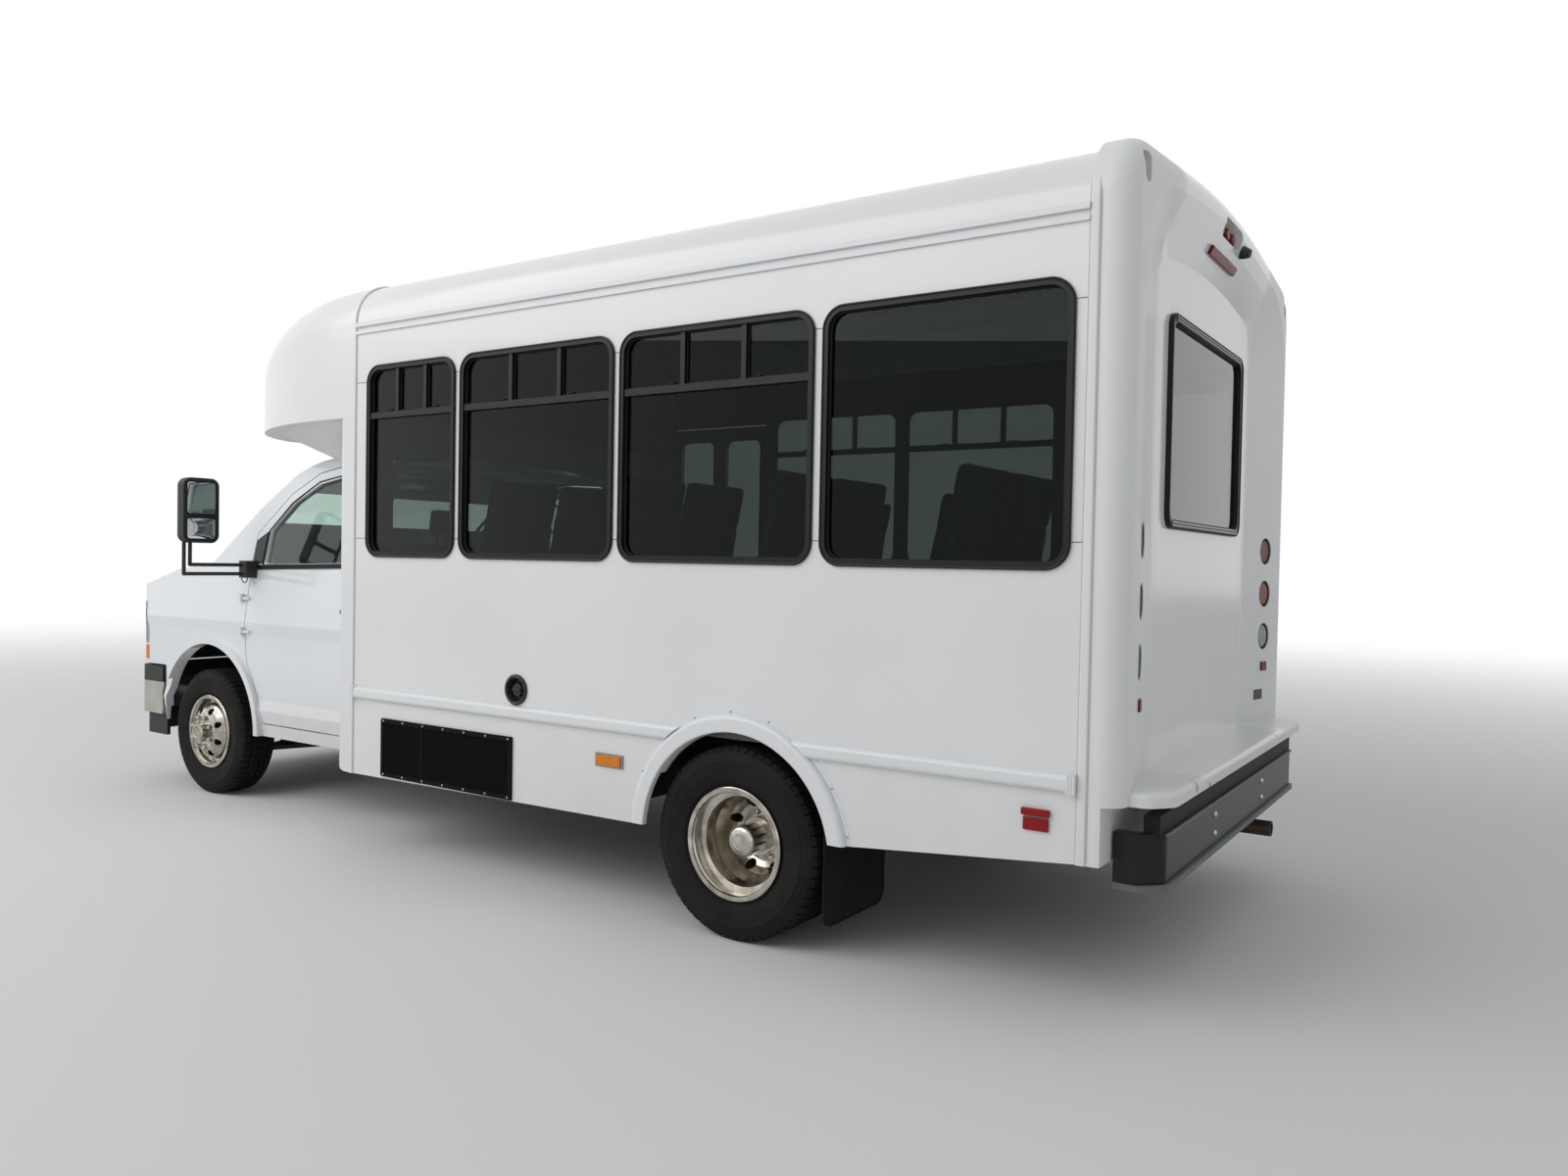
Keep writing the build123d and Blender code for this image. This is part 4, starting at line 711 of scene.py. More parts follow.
# Side openings: a fuel filler cup with a bright ring and a finger grip, and a condenser screen
# of black wire cloth clamped under a screwed angle frame.
filler_x, filler_z = front_axle + 2.880, 0.862
screen_x = (front_axle + 1.967, front_axle + 2.860)
screen_z, screen_y = (0.380, 0.655), -side_out - 0.0072
frame_width, wire_pitch, wire_half, screw_count = 0.020, 0.0085, 0.0011, 7
dress(polymer, "fuel_filler")
shape = bmesh.new()
profile = [(-0.003, 0.0605), (0.0025, 0.0605), (0.0035, 0.0575), (0.0025, 0.0545), (-0.003, 0.0545)]
lathe(shape, profile, (filler_x, -side_out - 0.008, filler_z), (0, -1, 0), 40, True)
piece("filler_rim_ring", shape, plate_dark)
shape = bmesh.new()
grip = (-side_out - 0.004, -side_out + 0.004)
block(shape, (filler_x - 0.024, grip[0], filler_z - 0.007), (filler_x + 0.024, grip[1], filler_z + 0.007))
piece("filler_cap_grip", shape, polymer, bevel=0.003)
# Swallows the light, so the screen reads as a dark mesh.
wire_black = finish(
    "steel wire cloth, coated black", "060605", relief=[(("Noise", 500.0, 2.0), 0.3, 0.0004)],
    Roughness=0.7, Specular_IOR_Level=0.12,
)
# Upright fins in deep shade, just lighter than the gaps.
dark_core = finish(
    "aluminium finned core, in shade", "030303", (("Wave", 90.0), "030303", "0C0B09"),
    stretch=(1.0, 1.0, 0.0), Roughness=0.9, Specular_IOR_Level=0.08,
)
dress(dark_core, "condenser_panel")
wide, tall = screen_x[1] - screen_x[0], screen_z[1] - screen_z[0]
for title, start, end, inset, run, step in (
    (
        "uprights", (-wire_half, -0.0012, 0), (wire_half, 0.0002, tall - 0.01),
        (frame_width, 0.005), wide, (wire_pitch, 0.0, 0.0),
    ),
    (
        "crosswires", (0, -0.0020, -wire_half), (wide - 0.01, -0.0006, wire_half),
        (0.005, frame_width), tall, (0.0, 0.0, wire_pitch),
    ),
):
    shape = bmesh.new()
    block(shape, start, end)
    place = Matrix.Translation((screen_x[0] + inset[0], screen_y, screen_z[0] + inset[1]))
    count = int((run - 2 * frame_width) / wire_pitch)
    wires = repeated(shape, wire_black, [place], Count=count, Step=step)
    piece("condenser_screen_" + title, wires, wire_black)
shape = bmesh.new()
path = frame_path(screen_x + screen_z, frame_width / 2, 0.0015, screen_y - 0.0015)
swept(shape, path, (0, 1, 0), [(-0.01, -0.002), (0.01, -0.002), (0.01, 0.002), (-0.01, 0.002)], True)
block(
    shape, (screen_x[0] + 0.29, screen_y - 0.0032, screen_z[0] + 0.01),
    (screen_x[0] + 0.302, screen_y - 0.0005, screen_z[1] - 0.01),
)
piece("condenser_screen_frame", shape, wire_black)
shape = bmesh.new()
lathe(shape, [(0, 0.0052), (0.001, 0.0052), (0.0026, 0.0036), (0.003, 0)], (0, 0, 0), (0, -1, 0), 8)
places = [
    Matrix.Translation((screen_x[0] + 0.02, screen_y - 0.0035, height))
    for height in (screen_z[1] - 0.010, screen_z[0] + 0.010)
]
step = (wide - 0.04) / (screw_count - 1)
screws = repeated(shape, zinc, places, Count=screw_count, Step=(step, 0.0, 0.0))
piece("condenser_screen_screws", screws, zinc)

# Side marker lamps: the front one is an amber acrylic lens with upright ribs on a grey base,
# the rear one a slim red lamp over a red reflector.
# Bright orange cells with darker rims, as its prisms catch the light.
amber = finish(
    "acrylic moulded amber", "E07A10", (("Voronoi", 230.0), "F5A52C", "C8560A"),
    [(("Voronoi", 230.0), 0.6, 0.0015)], Roughness=0.28, Specular_IOR_Level=0.3,
)
# Red cells with darker rims, as its prisms catch the light.
red = finish(
    "acrylic moulded red", "8C1013", (("Voronoi", 260.0), "B01A1C", "640A0C"),
    [(("Voronoi", 260.0), 0.5, 0.001)], Roughness=0.28, Specular_IOR_Level=0.25,
)
# Plain satin plastic.
base_grey = finish(
    "nylon moulded grey", "8F9294", relief=[(("Noise", 300.0, 2.0), 0.2, 0.0004)], Roughness=0.5
)
ribs = [(3.3700 + k * 0.0150, 3.3762 + k * 0.0150, 0.602, 0.633, 0.014, 0.0163) for k in range(8)]
for name, made, bevel, lumps in (
    ("marker_lens_amber", amber, 0.0022, [(3.361, 3.490, 0.597, 0.638, 0.005, 0.0150)] + ribs),
    ("marker_lens_red", red, 0.0032, [
        (5.189, 5.283, 0.650, 0.673, 0.003, 0.0163), (5.194, 5.279, 0.602, 0.643, 0.003, 0.0100),
    ]),
    ("marker_lamp_bases", base_grey, 0.001, [
        (3.351, 3.500, 0.590, 0.645, 0.0003, 0.007), (5.194, 5.279, 0.606, 0.670, 0.0003, 0.004),
    ]),
):
    shape = bmesh.new()
    for side in (-1, 1):
        for start, end, bottom, top, near, far in lumps:
            block(
                shape, (front_axle + start, side * (side_out + near), bottom),
                (front_axle + end, side * (side_out + far), top),
            )
    lamp = piece(name, shape, made, bevel=bevel)
    if made is amber:
        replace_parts(lamp, "marker_lamps")

# Tyres: radial truck tyres of carbon-black rubber. The carcass is turned, and the tread is
# five ribs cut into slanted blocks with open shoulders; dust greys the sidewalls slightly.
tyre_radius, groove_depth, twin_half = 0.368, 0.010, 0.131
groove_radius, tread_out = tyre_radius - groove_depth, tyre_radius - 0.0005
pitch_count = 58
block_arc = 2 * math.pi / pitch_count
# Dull black, greyed in clouds by dust.
rubber = finish(
    "rubber moulded black", "0C0C0C", (("Noise", 9.0, 6.0), "0A0A0A", "1F1D1B", 0.35, 0.8),
    [(("Noise", 220.0, 4.0), 0.25, 0.0008)], Roughness=0.8, Specular_IOR_Level=0.25,
)
carcass = [
    (0.075, 0.2066), (0.0895, 0.2185), (0.0965, 0.232), (0.0985, 0.235), (0.0995, 0.233), (0.1045, 0.250),
    (0.1095, 0.270), (0.1120, 0.290), (0.1117, 0.305), (0.1127, 0.307), (0.1127, 0.311), (0.1105, 0.313),
    (0.1080, 0.326), (0.1040, 0.338), (0.0975, 0.350), (0.0850, groove_radius), (0.0, groove_radius),
]
carcass = carcass + [(-a, r) for a, r in carcass[-2::-1]]
ribs = [(-0.0125, 0.0125, 0.012), (0.0205, 0.0465, -0.0105), (-0.0465, -0.0205, -0.0105)]
shoulder = ((0.0850, tread_out - 0.0018), (0.0990, 0.3520), (0.0985, 0.3420), (0.0850, 0.3420))


def tread_unit():
    """One pitch of tread at the front of the tyre: five slanted blocks and two shoulder lugs."""
    unit = bmesh.new()
    first, last = 0.12 * block_arc, block_arc * (1 - 0.12 * 0.3)

    def lump(inner, outer, start, slant, drop):
        spots = []
        for radius, pull in ((groove_radius - 0.006, 0.0), (tread_out, 0.0012)):
            reach = radius - (drop if pull else 0.0)
            for y, turn, out in (
                (inner + pull, start + first, radius), (outer - pull, start + first + slant, reach),
                (outer - pull, start + last + slant, reach), (inner + pull, start + last, radius),
            ):
                spots.append((out * math.cos(turn), y, out * math.sin(turn)))
        box_faces(unit, spots)

    for inner, outer, slant in ribs:
        lump(inner, outer, 0.0, slant, 0.0)
    for side in (-1, 1):
        shift = 0.3 * block_arc * (side > 0)
        lump(side * 0.0545, side * 0.0860, shift, 0.012, 0.0015)
        box_faces(unit, [
            (radius * math.cos(shift + 0.012 + turn), side * y, radius * math.sin(shift + 0.012 + turn))
            for turn in (first, last) for y, radius in shoulder
        ])
    return unit


wheel_centres = {}
for side, word in ((-1, "left"), (1, "right")):
    for node, title, body, shifts in (
        ("front_tyre_", "front_tyre_tread_", "front_wheel_", (0.0,)),
        ("rear_tyres_", "rear_tyre_treads_", "rear_wheels_", (-twin_half, twin_half)),
    ):
        centre = sum(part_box(node + word), Vector()) / 2
        wheel_centres[body + word] = centre
        seats = [centre + Vector((0, shift, 0)) for shift in shifts]
        whole = repeated(
            tread_unit(), rubber, [Matrix.Translation(seat) for seat in seats],
            Count=pitch_count, Phase=0.0, Arc=block_arc,
        )
        for seat in seats:
            lathe(whole, carcass, seat, (0, 1, 0), 96, True)
        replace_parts(piece(title + word, whole, rubber, body + word, smooth=28), node + word)

# Wheels: pressed steel discs under polished stainless liners. Eight bright nut covers ring
# the hub; the front hub stands proud in a shallow dish, the rear one on a long axle end.
nut_count, nut_circle = 8, 0.0905
rim_bead = [(0.0975, 0.2125), (0.1015, 0.2160), (0.1040, 0.2130), (0.1035, 0.1960), (0.0975, 0.1935)]
# A mirror with soft waves and hazy patches.
stainless = finish(
    "stainless pressed, polished", "BDB9B0", (("Noise", 16.0, 6.0), "9A9388", "D6D2CA", 0.3, 0.7),
    [(("Noise", 11.0, 1.0), 0.08, 0.002)], (("Noise", 16.0, 6.0), 0.07, 0.30), Metallic=1.0,
)
dress(stainless, "front_rim_left", "front_rim_right", "rear_rims_left", "rear_rims_right")
wheel_kinds = (
    (
        "front_", "front_wheel_", 0.0, 0.131,
        [(-0.002, 0), (-0.002, 0.0148), (0.016, 0.0132), (0.024, 0.0118), (0.029, 0.008), (0.0305, 0)],
        0.168, [
            (-0.001, 0), (-0.001, 0.0555), (0.006, 0.052), (0.010, 0.044), (0.010, 0.030), (0.006, 0.027),
            (0.006, 0),
        ],
        [(0.0002, 0.0745), (0.0040, 0.0760), (0.0048, 0.1030), (0.0002, 0.1060)],
    ),
    (
        "rear_", "rear_wheels_", twin_half, 0.016,
        [(-0.002, 0), (-0.002, 0.0118), (0.012, 0.0112), (0.017, 0.0085), (0.019, 0.004), (0.0195, 0)],
        0.1785, [
            (-0.001, 0), (-0.001, 0.0595), (0.006, 0.056), (0.011, 0.047), (0.012, 0.030), (0.009, 0.027),
            (0.009, 0),
        ],
        [(0.0002, 0.0605), (0.004, 0.062), (0.0045, 0.108), (0.0002, 0.111)],
    ),
)
for word, side in (("left", -1), ("right", 1)):
    for axle, body, shift, face, nut, hub_end, cap, disc in wheel_kinds:
        centre = wheel_centres[body + word]
        unit = bmesh.new()
        lathe(unit, nut, (nut_circle, 0, 0), (0, 1, 0), 12)
        place = Matrix.Translation(centre + Vector((0, side * face, 0))) @ Matrix.Diagonal((1, side, 1, 1))
        nuts = repeated(
            unit, stainless, [place], Count=nut_count, Phase=math.pi / 8, Arc=2 * math.pi / nut_count
        )
        piece(axle + "nut_covers_" + word, nuts, stainless, body + word)
        hub = bmesh.new()
        for start, profile, count in ((hub_end, cap, 40), (face, disc, 56), (shift, rim_bead, 72)):
            lathe(hub, [(start + a, r) for a, r in profile], centre, (0, side, 0), count, profile is not cap)
        piece(axle + "hub_trim_" + word, hub, stainless, body + word)

# Underbody: welded frame, axle, springs and tank in black chassis paint, engine and gearbox
# in bare castings, and the exhaust in aluminised steel browned by heat.
# Lumpy black with brown patches where dirt sits.
chassis_paint = finish(
    "steel chassis paint black", "161617", (("Noise", 12.0, 8.0), "111112", "3A342D", 0.4, 0.75),
    [(("Noise", 12.0, 8.0), 0.3, 0.002)], Roughness=0.5,
)
dress(
    chassis_paint, "chassis_frame", "front_suspension", "rear_axle", "leaf_springs", "prop_shaft",
    "fuel_tank", "knuckle_left", "knuckle_right",
)
# Rough dark grey with a sandy skin.
cast = finish(
    "iron sand cast", "3C3A38", (("Noise", 5.0, 5.0), "1E1C1A", "585450"),
    [(("Noise", 160.0, 4.0), 0.5, 0.0015)], Metallic=0.7, Roughness=0.6,
)
dress(cast, "engine_block")
# Dull silver gone brown in clouds.
aluminised = finish(
    "steel aluminised, heat browned", "5A4B40", (("Noise", 6.0, 7.0), "2B211B", "6B5C50"),
    Metallic=0.8, Roughness=0.48,
)
dress(aluminised, "exhaust")

# Mud flaps: moulded rubber sheet with a rolled edge along its free sides, clamped to the frame
# behind the wheels under a zinc plated steel strip.
flap_x, flap_y = front_axle + 4.426, (0.728, 1.162)
dress(rubber, "mud_flaps")
shape, strip = bmesh.new(), bmesh.new()
for side in (-1, 1):
    inner, outer = (side * y for y in flap_y[::side])
    outline = [(inner, 0.655), (inner, 0.118), (outer, 0.118), (outer, 0.655)]
    flat = rounded(outline, [0, 0.055, 0.055, 0], False)
    swept(shape, [(flap_x, *p) for p in flat], (1, 0, 0), 0.003)
    block(strip, (flap_x, inner, 0.612), (flap_x + 0.004, outer, 0.642))
piece("mud_flap_edges", shape, rubber)
piece("mud_flap_clamps", strip, zinc, bevel=0.0008)

# Cab panels: pressed steel sprayed with solid white enamel under clear coat; a fine orange
# peel breaks the reflections, and dust gathers along the sills.
enamel = finish(
    "enamel sprayed white", "E7E9EC", relief=[(("Noise", 420.0, 1.0), 0.05, 0.0005)],
    Roughness=0.17, Coat_Weight=0.7, Coat_Roughness=0.04,
)
place = add(enamel.node_tree, "ShaderNodeTexCoord").outputs["Object"]
cloud = add(enamel.node_tree, "ShaderNodeTexNoise", [(place, "Vector")], Scale=3.0, Detail=4.0)
dusted(enamel, axes_of(enamel)[2], cloud, 0.85, 0.42, 0.45, "9E978B")
dress(enamel, "cab_shell", "fenders", "hood", "cab_door_left", "cab_door_right")

# Cab door fittings: black rubber belt strip and window channel, a moulded sail plate in the
# front corner of the window, and a paddle handle in a black recess.
glass_line = [
    (0.566, 1.368), (1.385, 1.388), (1.385, 1.845), (1.150, 1.850), (0.945, 1.815), (0.735, 1.710),
    (0.566, 1.560),
]
belt_ends, belt_steps, plate_rows = (0.452, 1.430), 24, 7
handle, sail_columns = (1.372, 1.118), ((0.458, 0.130), (0.552, 0.180))
door_bodies = (("left", -1, "driver_door"), ("right", 1, "passenger_door"))


def seat(skin, start, way, lift=0.0):
    """The spot where a line from outside meets a skin, lifted off its outer face, or None."""
    hit = skin.ray_cast(Vector(start), Vector(way))
    return hit[0] and hit[0] + hit[1] * (lift if hit[1].dot(Vector(way)) < 0 else -lift)


def cling(skin, points, side, lift):
    """Points (x, z) laid on a door's outer skin and lifted off it."""
    return [seat(skin, (front_axle + x, side * 2.0, z), (0, -side, 0), lift) for x, z in points]


def band(shape, first, second, inward):
    """A strip between two rows of points, with an outer and an inner sheet and closed edges."""
    inward = Vector(inward)
    rows = [first, second, [p + inward for p in second], [p + inward for p in first]]
    rings = [[shape.verts.new(row[k]) for row in rows] for k in range(len(first))]
    for one, two in zip(rings, rings[1:]):
        for k in range(4):
            j = (k + 1) % 4
            shape.faces.new((one[k], one[j], two[j], two[k]))
    shape.faces.new(rings[0])
    shape.faces.new(rings[-1][::-1])


for word, side, body in door_bodies:
    skin = tree_of("cab_door_" + word)
    shape = bmesh.new()
    xs = [belt_ends[0] + (belt_ends[1] - belt_ends[0]) * k / belt_steps for k in range(belt_steps + 1)]
    belt = [cling(skin, [(x, z + 0.0244 * (x - 0.566)) for x in xs], side, 0.0055) for z in (1.338, 1.362)]
    band(shape, belt[0], belt[1], (0, -side * 0.009, 0))
    middle = Vector((1.0, 1.6))
    line = [
        Vector(corner).lerp(Vector(after), k / 8)
        for corner, after in zip(glass_line, glass_line[1:] + glass_line[:1]) for k in range(8)
    ]
    ring_out, ring_in = ([p + (p - middle).normalized() * wide for p in line] for wide in (0.016, 0.003))
    ring_out = cling(skin, ring_out, side, 0.0025)
    ring_in = [Vector((front_axle + p[0], out.y - side * 0.001, p[1])) for p, out in zip(ring_in, ring_out)]
    band(shape, ring_out + [ring_out[0]], ring_in + [ring_in[0]], (0, -side * 0.010, 0))
    piece("door_weather_strips_" + word, shape, glazing, body)
    shape = bmesh.new()
    rows = [
        cling(skin, [(x, 1.372 + tall * k / plate_rows) for k in range(plate_rows + 1)], side, 0.0065)
        for x, tall in sail_columns
    ]
    band(shape, rows[0], rows[1], (0, -side * 0.007, 0))
    piece("door_sail_plate_" + word, shape, polymer, body, bevel=0.001)
    shape = bmesh.new()
    spot = cling(skin, [handle], side, 0.0)[0]
    for wide, near, far, bottom, top in (
        (0.055, -0.004, 0.005, -0.034, 0.034), (0.046, 0.004, 0.018, 0.002, 0.024),
    ):
        block(
            shape, (spot.x - wide, spot.y + side * near, spot.z + bottom),
            (spot.x + wide, spot.y + side * far, spot.z + top),
        )
    barrel = spot + Vector((0.028, side * 0.004, -0.017))
    lathe(shape, [(0, 0), (0, 0.009), (0.008, 0.008), (0.008, 0)], barrel, (0, side, 0), 16)
    piece("door_handle_" + word, shape, polymer, body, bevel=0.003)

# Windscreen fittings: black wiper arms with rubber blades, parked low on the glass, and a
# black fired border round its edge.
screen_skin = tree_of("windshield")
screen_low, screen_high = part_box("windshield")
foot, head, edge = screen_low.z + 0.034, screen_high.z - 0.012, 0.766
wipers, wiper_steps = ((-0.62, -0.06), (0.02, 0.58)), 14


def on_screen(y, z, lift):
    """A spot on the windscreen's outer face, lifted off it, or None beside the glass."""
    return seat(screen_skin, (front_axle - 1.6, y, z), (1, 0, 0), lift)


shape = bmesh.new()
upward = Vector((-0.75, 0, 0.66)).normalized()
for pivot, tip in wipers:
    shares = [k / wiper_steps for k in range(wiper_steps + 1)]
    line = [on_screen(pivot + (tip - pivot) * s, 1.455 + 0.055 * math.sin(s * 2.2), 0.012) for s in shares]
    line = [spot for spot in line if spot is not None]
    if len(line) > 2:
        swept(shape, line, upward, [(-0.004, -0.010), (0.004, -0.010), (0.007, 0.004), (-0.007, 0.004)])
        root, middle = line[0], line[len(line) // 2]
        arm = [root + Vector((-0.05, -0.02, -0.05)), root + upward * 0.01, middle + upward * 0.006]
        swept(shape, arm, upward, 0.005)
piece("wipers", shape, polymer)
# Smooth black with faint regular dots.
fired = finish(
    "ceramic frit fired black", "0B0B0C", (("Voronoi", 260.0, 0.0), "080809", "151617"), Roughness=0.28
)
border = bmesh.new()
columns = [-edge + 2 * edge * k / 20 for k in range(21)]
levels = [foot + (head - foot) * k / 12 for k in range(13)]
for first, second in (
    ([(y, foot) for y in columns], [(y, foot + 0.055) for y in columns]),
    ([(y, head - 0.045) for y in columns], [(y, head) for y in columns]),
    ([(-edge, z) for z in levels], [(-edge + 0.038, z) for z in levels]),
    ([(edge - 0.038, z) for z in levels], [(edge, z) for z in levels]),
):
    pairs = [(on_screen(a[0], a[1], 0.0016), on_screen(b[0], b[1], 0.0016)) for a, b in zip(first, second)]
    pairs = [pair for pair in pairs if None not in pair]
    if len(pairs) > 2:
        band(border, [pair[0] for pair in pairs], [pair[1] for pair in pairs], (0.0028, 0, 0))
piece("windscreen_border", border, fired)

# Front end: a charcoal grille of grained plastic with amber side lamps at its corners,
# clear headlamps over bright bowls, and a chromed bumper with a black upper pad.
lamp_face, headlamp_y, lamp_rows = front_axle - 0.715, 0.735, ((1.045, 0.072), (0.915, 0.055))
lamp_columns = (-0.700, -0.684, -0.668, -0.655)
corner_y, corner_z, pad_foot = 0.64, 0.752, 0.628
# Grained dark plastic, and orange cells where the side lamps sit, each with a painted highlight in its middle
# and painted shade at its rim.
grille_plastic = finish(
    "ABS grained charcoal", "2A2C2E", (("Voronoi", 120.0), "D8691A", "9C3C0C"),
    [(("Voronoi", 120.0), 0.25, 0.0012)],
)
x, y, z, across = axes_of(grille_plastic)
# The corners keep the orange cells with their painted highlight and shade; the rest is charcoal.
corner = zone(grille_plastic, (across, "GREATER", corner_y), (z, "GREATER", corner_z))
rest = add(grille_plastic.node_tree, "ShaderNodeMath", [(1.0, 0), (corner, 1)], operation="SUBTRACT")
overlaid(grille_plastic, rest, "2A2C2E", (0.12, 0.42))
dress(grille_plastic, "grille")
# Clear, with upright flutes that bend what lies behind.
lamp_cover = finish(
    "polycarbonate moulded clear", "DCE3DC", relief=[(("Wave", 22.0, "Y"), 0.15, 0.002)],
    Roughness=0.04, Transmission_Weight=0.9, IOR=1.45,
)
dress(lamp_cover, "headlamps")
# A mirror, a little uneven in its polish.
chrome = finish("steel chromium plated", "CFCFCD", gloss=(("Noise", 10.0, 5.0), 0.05, 0.2), Metallic=1.0)
shape = bmesh.new()
for side in (-1, 1):
    for z, size in lamp_rows:
        bowl = [
            (0.0, size), (-0.020, size * 0.92), (-0.042, size * 0.62), (-0.052, 0.0), (-0.055, 0.0),
            (-0.046, size * 0.68), (-0.022, size * 0.99), (0.0, size * 1.06),
        ]
        lathe(shape, bowl, (lamp_face, side * headlamp_y, z), (-1, 0, 0), 32)
        bulb = [(-0.052, 0), (-0.052, 0.010), (-0.018, 0.008), (-0.012, 0)]
        lathe(shape, bulb, (lamp_face, side * headlamp_y, z), (-1, 0, 0), 12)
piece("headlamp_bowls", shape, chrome)
# A mirror below, dull black on the pad above.
bumper_chrome = finish("steel chromium plated, padded", "CFCFCD", (("Noise", 8.0, 6.0), "A7A39B", "D9D7D2"))
tree = bumper_chrome.node_tree
pad = zone(bumper_chrome, (axes_of(bumper_chrome)[2], "GREATER", pad_foot))
metal = add(tree, "ShaderNodeMath", [(1.0, 0), (pad, 1)], operation="SUBTRACT")
tree.links.new(metal.outputs[0], tree.nodes["Principled BSDF"].inputs["Metallic"])
overlaid(bumper_chrome, pad, "1A1B1C", (0.14, 0.5))
dress(bumper_chrome, "front_bumper")
wing_skin = tree_of("fenders")
for word, made, bottom, top in (("clear", lamp_cover, 0.862, 1.120), ("amber", amber, 0.762, 0.848)):
    shape = bmesh.new()
    for side in (-1, 1):
        rows = []
        for x in lamp_columns:
            heights = [bottom + (top - bottom) * k / 8 for k in range(9)]
            hits = [seat(wing_skin, (front_axle + x, side * 1.6, z), (0, -side, 0)) for z in heights]
            rows.append([hit + Vector((0, side * 0.0035, 0)) for hit in hits if hit is not None])
        if min(len(row) for row in rows) == 9:
            for one, two in zip(rows, rows[1:]):
                band(shape, one, two, (0, -side * 0.006, 0))
    if len(shape.verts):
        piece("corner_lamp_" + word, shape, made)
dress(polymer, "air_dam")

# Mirrors: grained black heads on bent steel tubes, with a flat glass above and a convex
# wide-angle glass below, each in its own rim, and a loop of spare wire under the bracket.
mirror_face, mirror_y = front_axle + 0.492, (1.195, 1.392)
dress(polymer, "mirror_left", "mirror_right")
# A true mirror with a faint haze.
silvered = finish("glass silvered", "DDE2E4", gloss=(("Noise", 40.0, 6.0), 0.0, 0.05), Metallic=1.0)
for word, side, body in door_bodies:
    inner, outer = (side * y for y in mirror_y[::side])
    panes, rims, wire = bmesh.new(), bmesh.new(), bmesh.new()
    for bottom, top, bulge in ((1.634, 1.812, 0.0), (1.500, 1.616, 0.006)):
        flat = rounded_box(inner + 0.018, outer - 0.018, bottom, top, 0.018)
        swept(rims, [(mirror_face + 0.001, *p) for p in flat], (1, 0, 0), 0.0042, True)
        middle = Vector(((inner + outer) / 2, (bottom + top) / 2))
        rings = [[panes.verts.new((mirror_face - 0.001, *p)) for p in flat]]
        for share in (1.0, 0.75, 0.5, 0.25):
            lift = mirror_face + 0.0012 + bulge * (1 - share ** 2)
            rings.append([panes.verts.new((lift, *(middle + (p - middle) * share))) for p in flat])
        for one, two in zip(rings, rings[1:]):
            for k in range(len(flat)):
                j = (k + 1) % len(flat)
                if (one[k].co - one[j].co).length > 1e-7:
                    panes.faces.new((one[k], one[j], two[j], two[k]))
        panes.faces.new(rings[-1])
        panes.faces.new(rings[0][::-1])
    piece("mirror_panes_" + word, panes, silvered, body, smooth=20)
    piece("mirror_pane_rims_" + word, rims, glazing, body)
    turns = [math.pi * (1.0 + k / 14) for k in range(15)]
    loop = [
        (front_axle + 0.448 + 0.030 * math.cos(t), side * 1.020, 1.292 + 0.030 * math.sin(t)) for t in turns
    ]
    swept(wire, loop, (0, 1, 0), 0.0028)
    piece("mirror_wire_loop_" + word, wire, glazing, body)

# Inside: grey pebbled floor sheet and moulded dash, a grained hand wheel, and seats in woven
# cloth sewn over foam in two channels, with a cord of piping round each pad.
stuffing_pressure, swell_limit, sim_frames = 4.0, 0.013, 20
seat_rows = [(-1, 2.100), (-1, 2.880), (-1, 3.640), (-1, 4.400), (1, 2.880), (1, 3.640), (1, 4.400)]
seat_centres, cab_seat_y = (0.505, 0.935), 0.465
pad_edge, channel_depth, channel_width, piping_radius = 0.022, 0.006, 0.012, 0.0035
# Pebbled grey, with painted shade darkening the small pits between the pebbles.
sheet_grey = finish(
    "vinyl sheet, pebbled grey", "4E5154", (("Voronoi", 190.0), "5E6164", "3F4245"),
    [(("Voronoi", 190.0), 0.4, 0.001)], Roughness=0.6,
)
dress(sheet_grey, "body_floor", "cab_floor", "entry_steps", "dashboard")
dress(polymer, "steering_wheel")
# A soft grey; its threads are drawn 2.6 mm apart, coarser than real, so that they show.
cloth = finish(
    "polyester woven grey", "55585E", (("Weave", 120.0), "4A4D52", "5F636A"),
    [(("Weave", 120.0), 0.4, 0.001)], Roughness=0.85, Sheen_Weight=0.3,
)


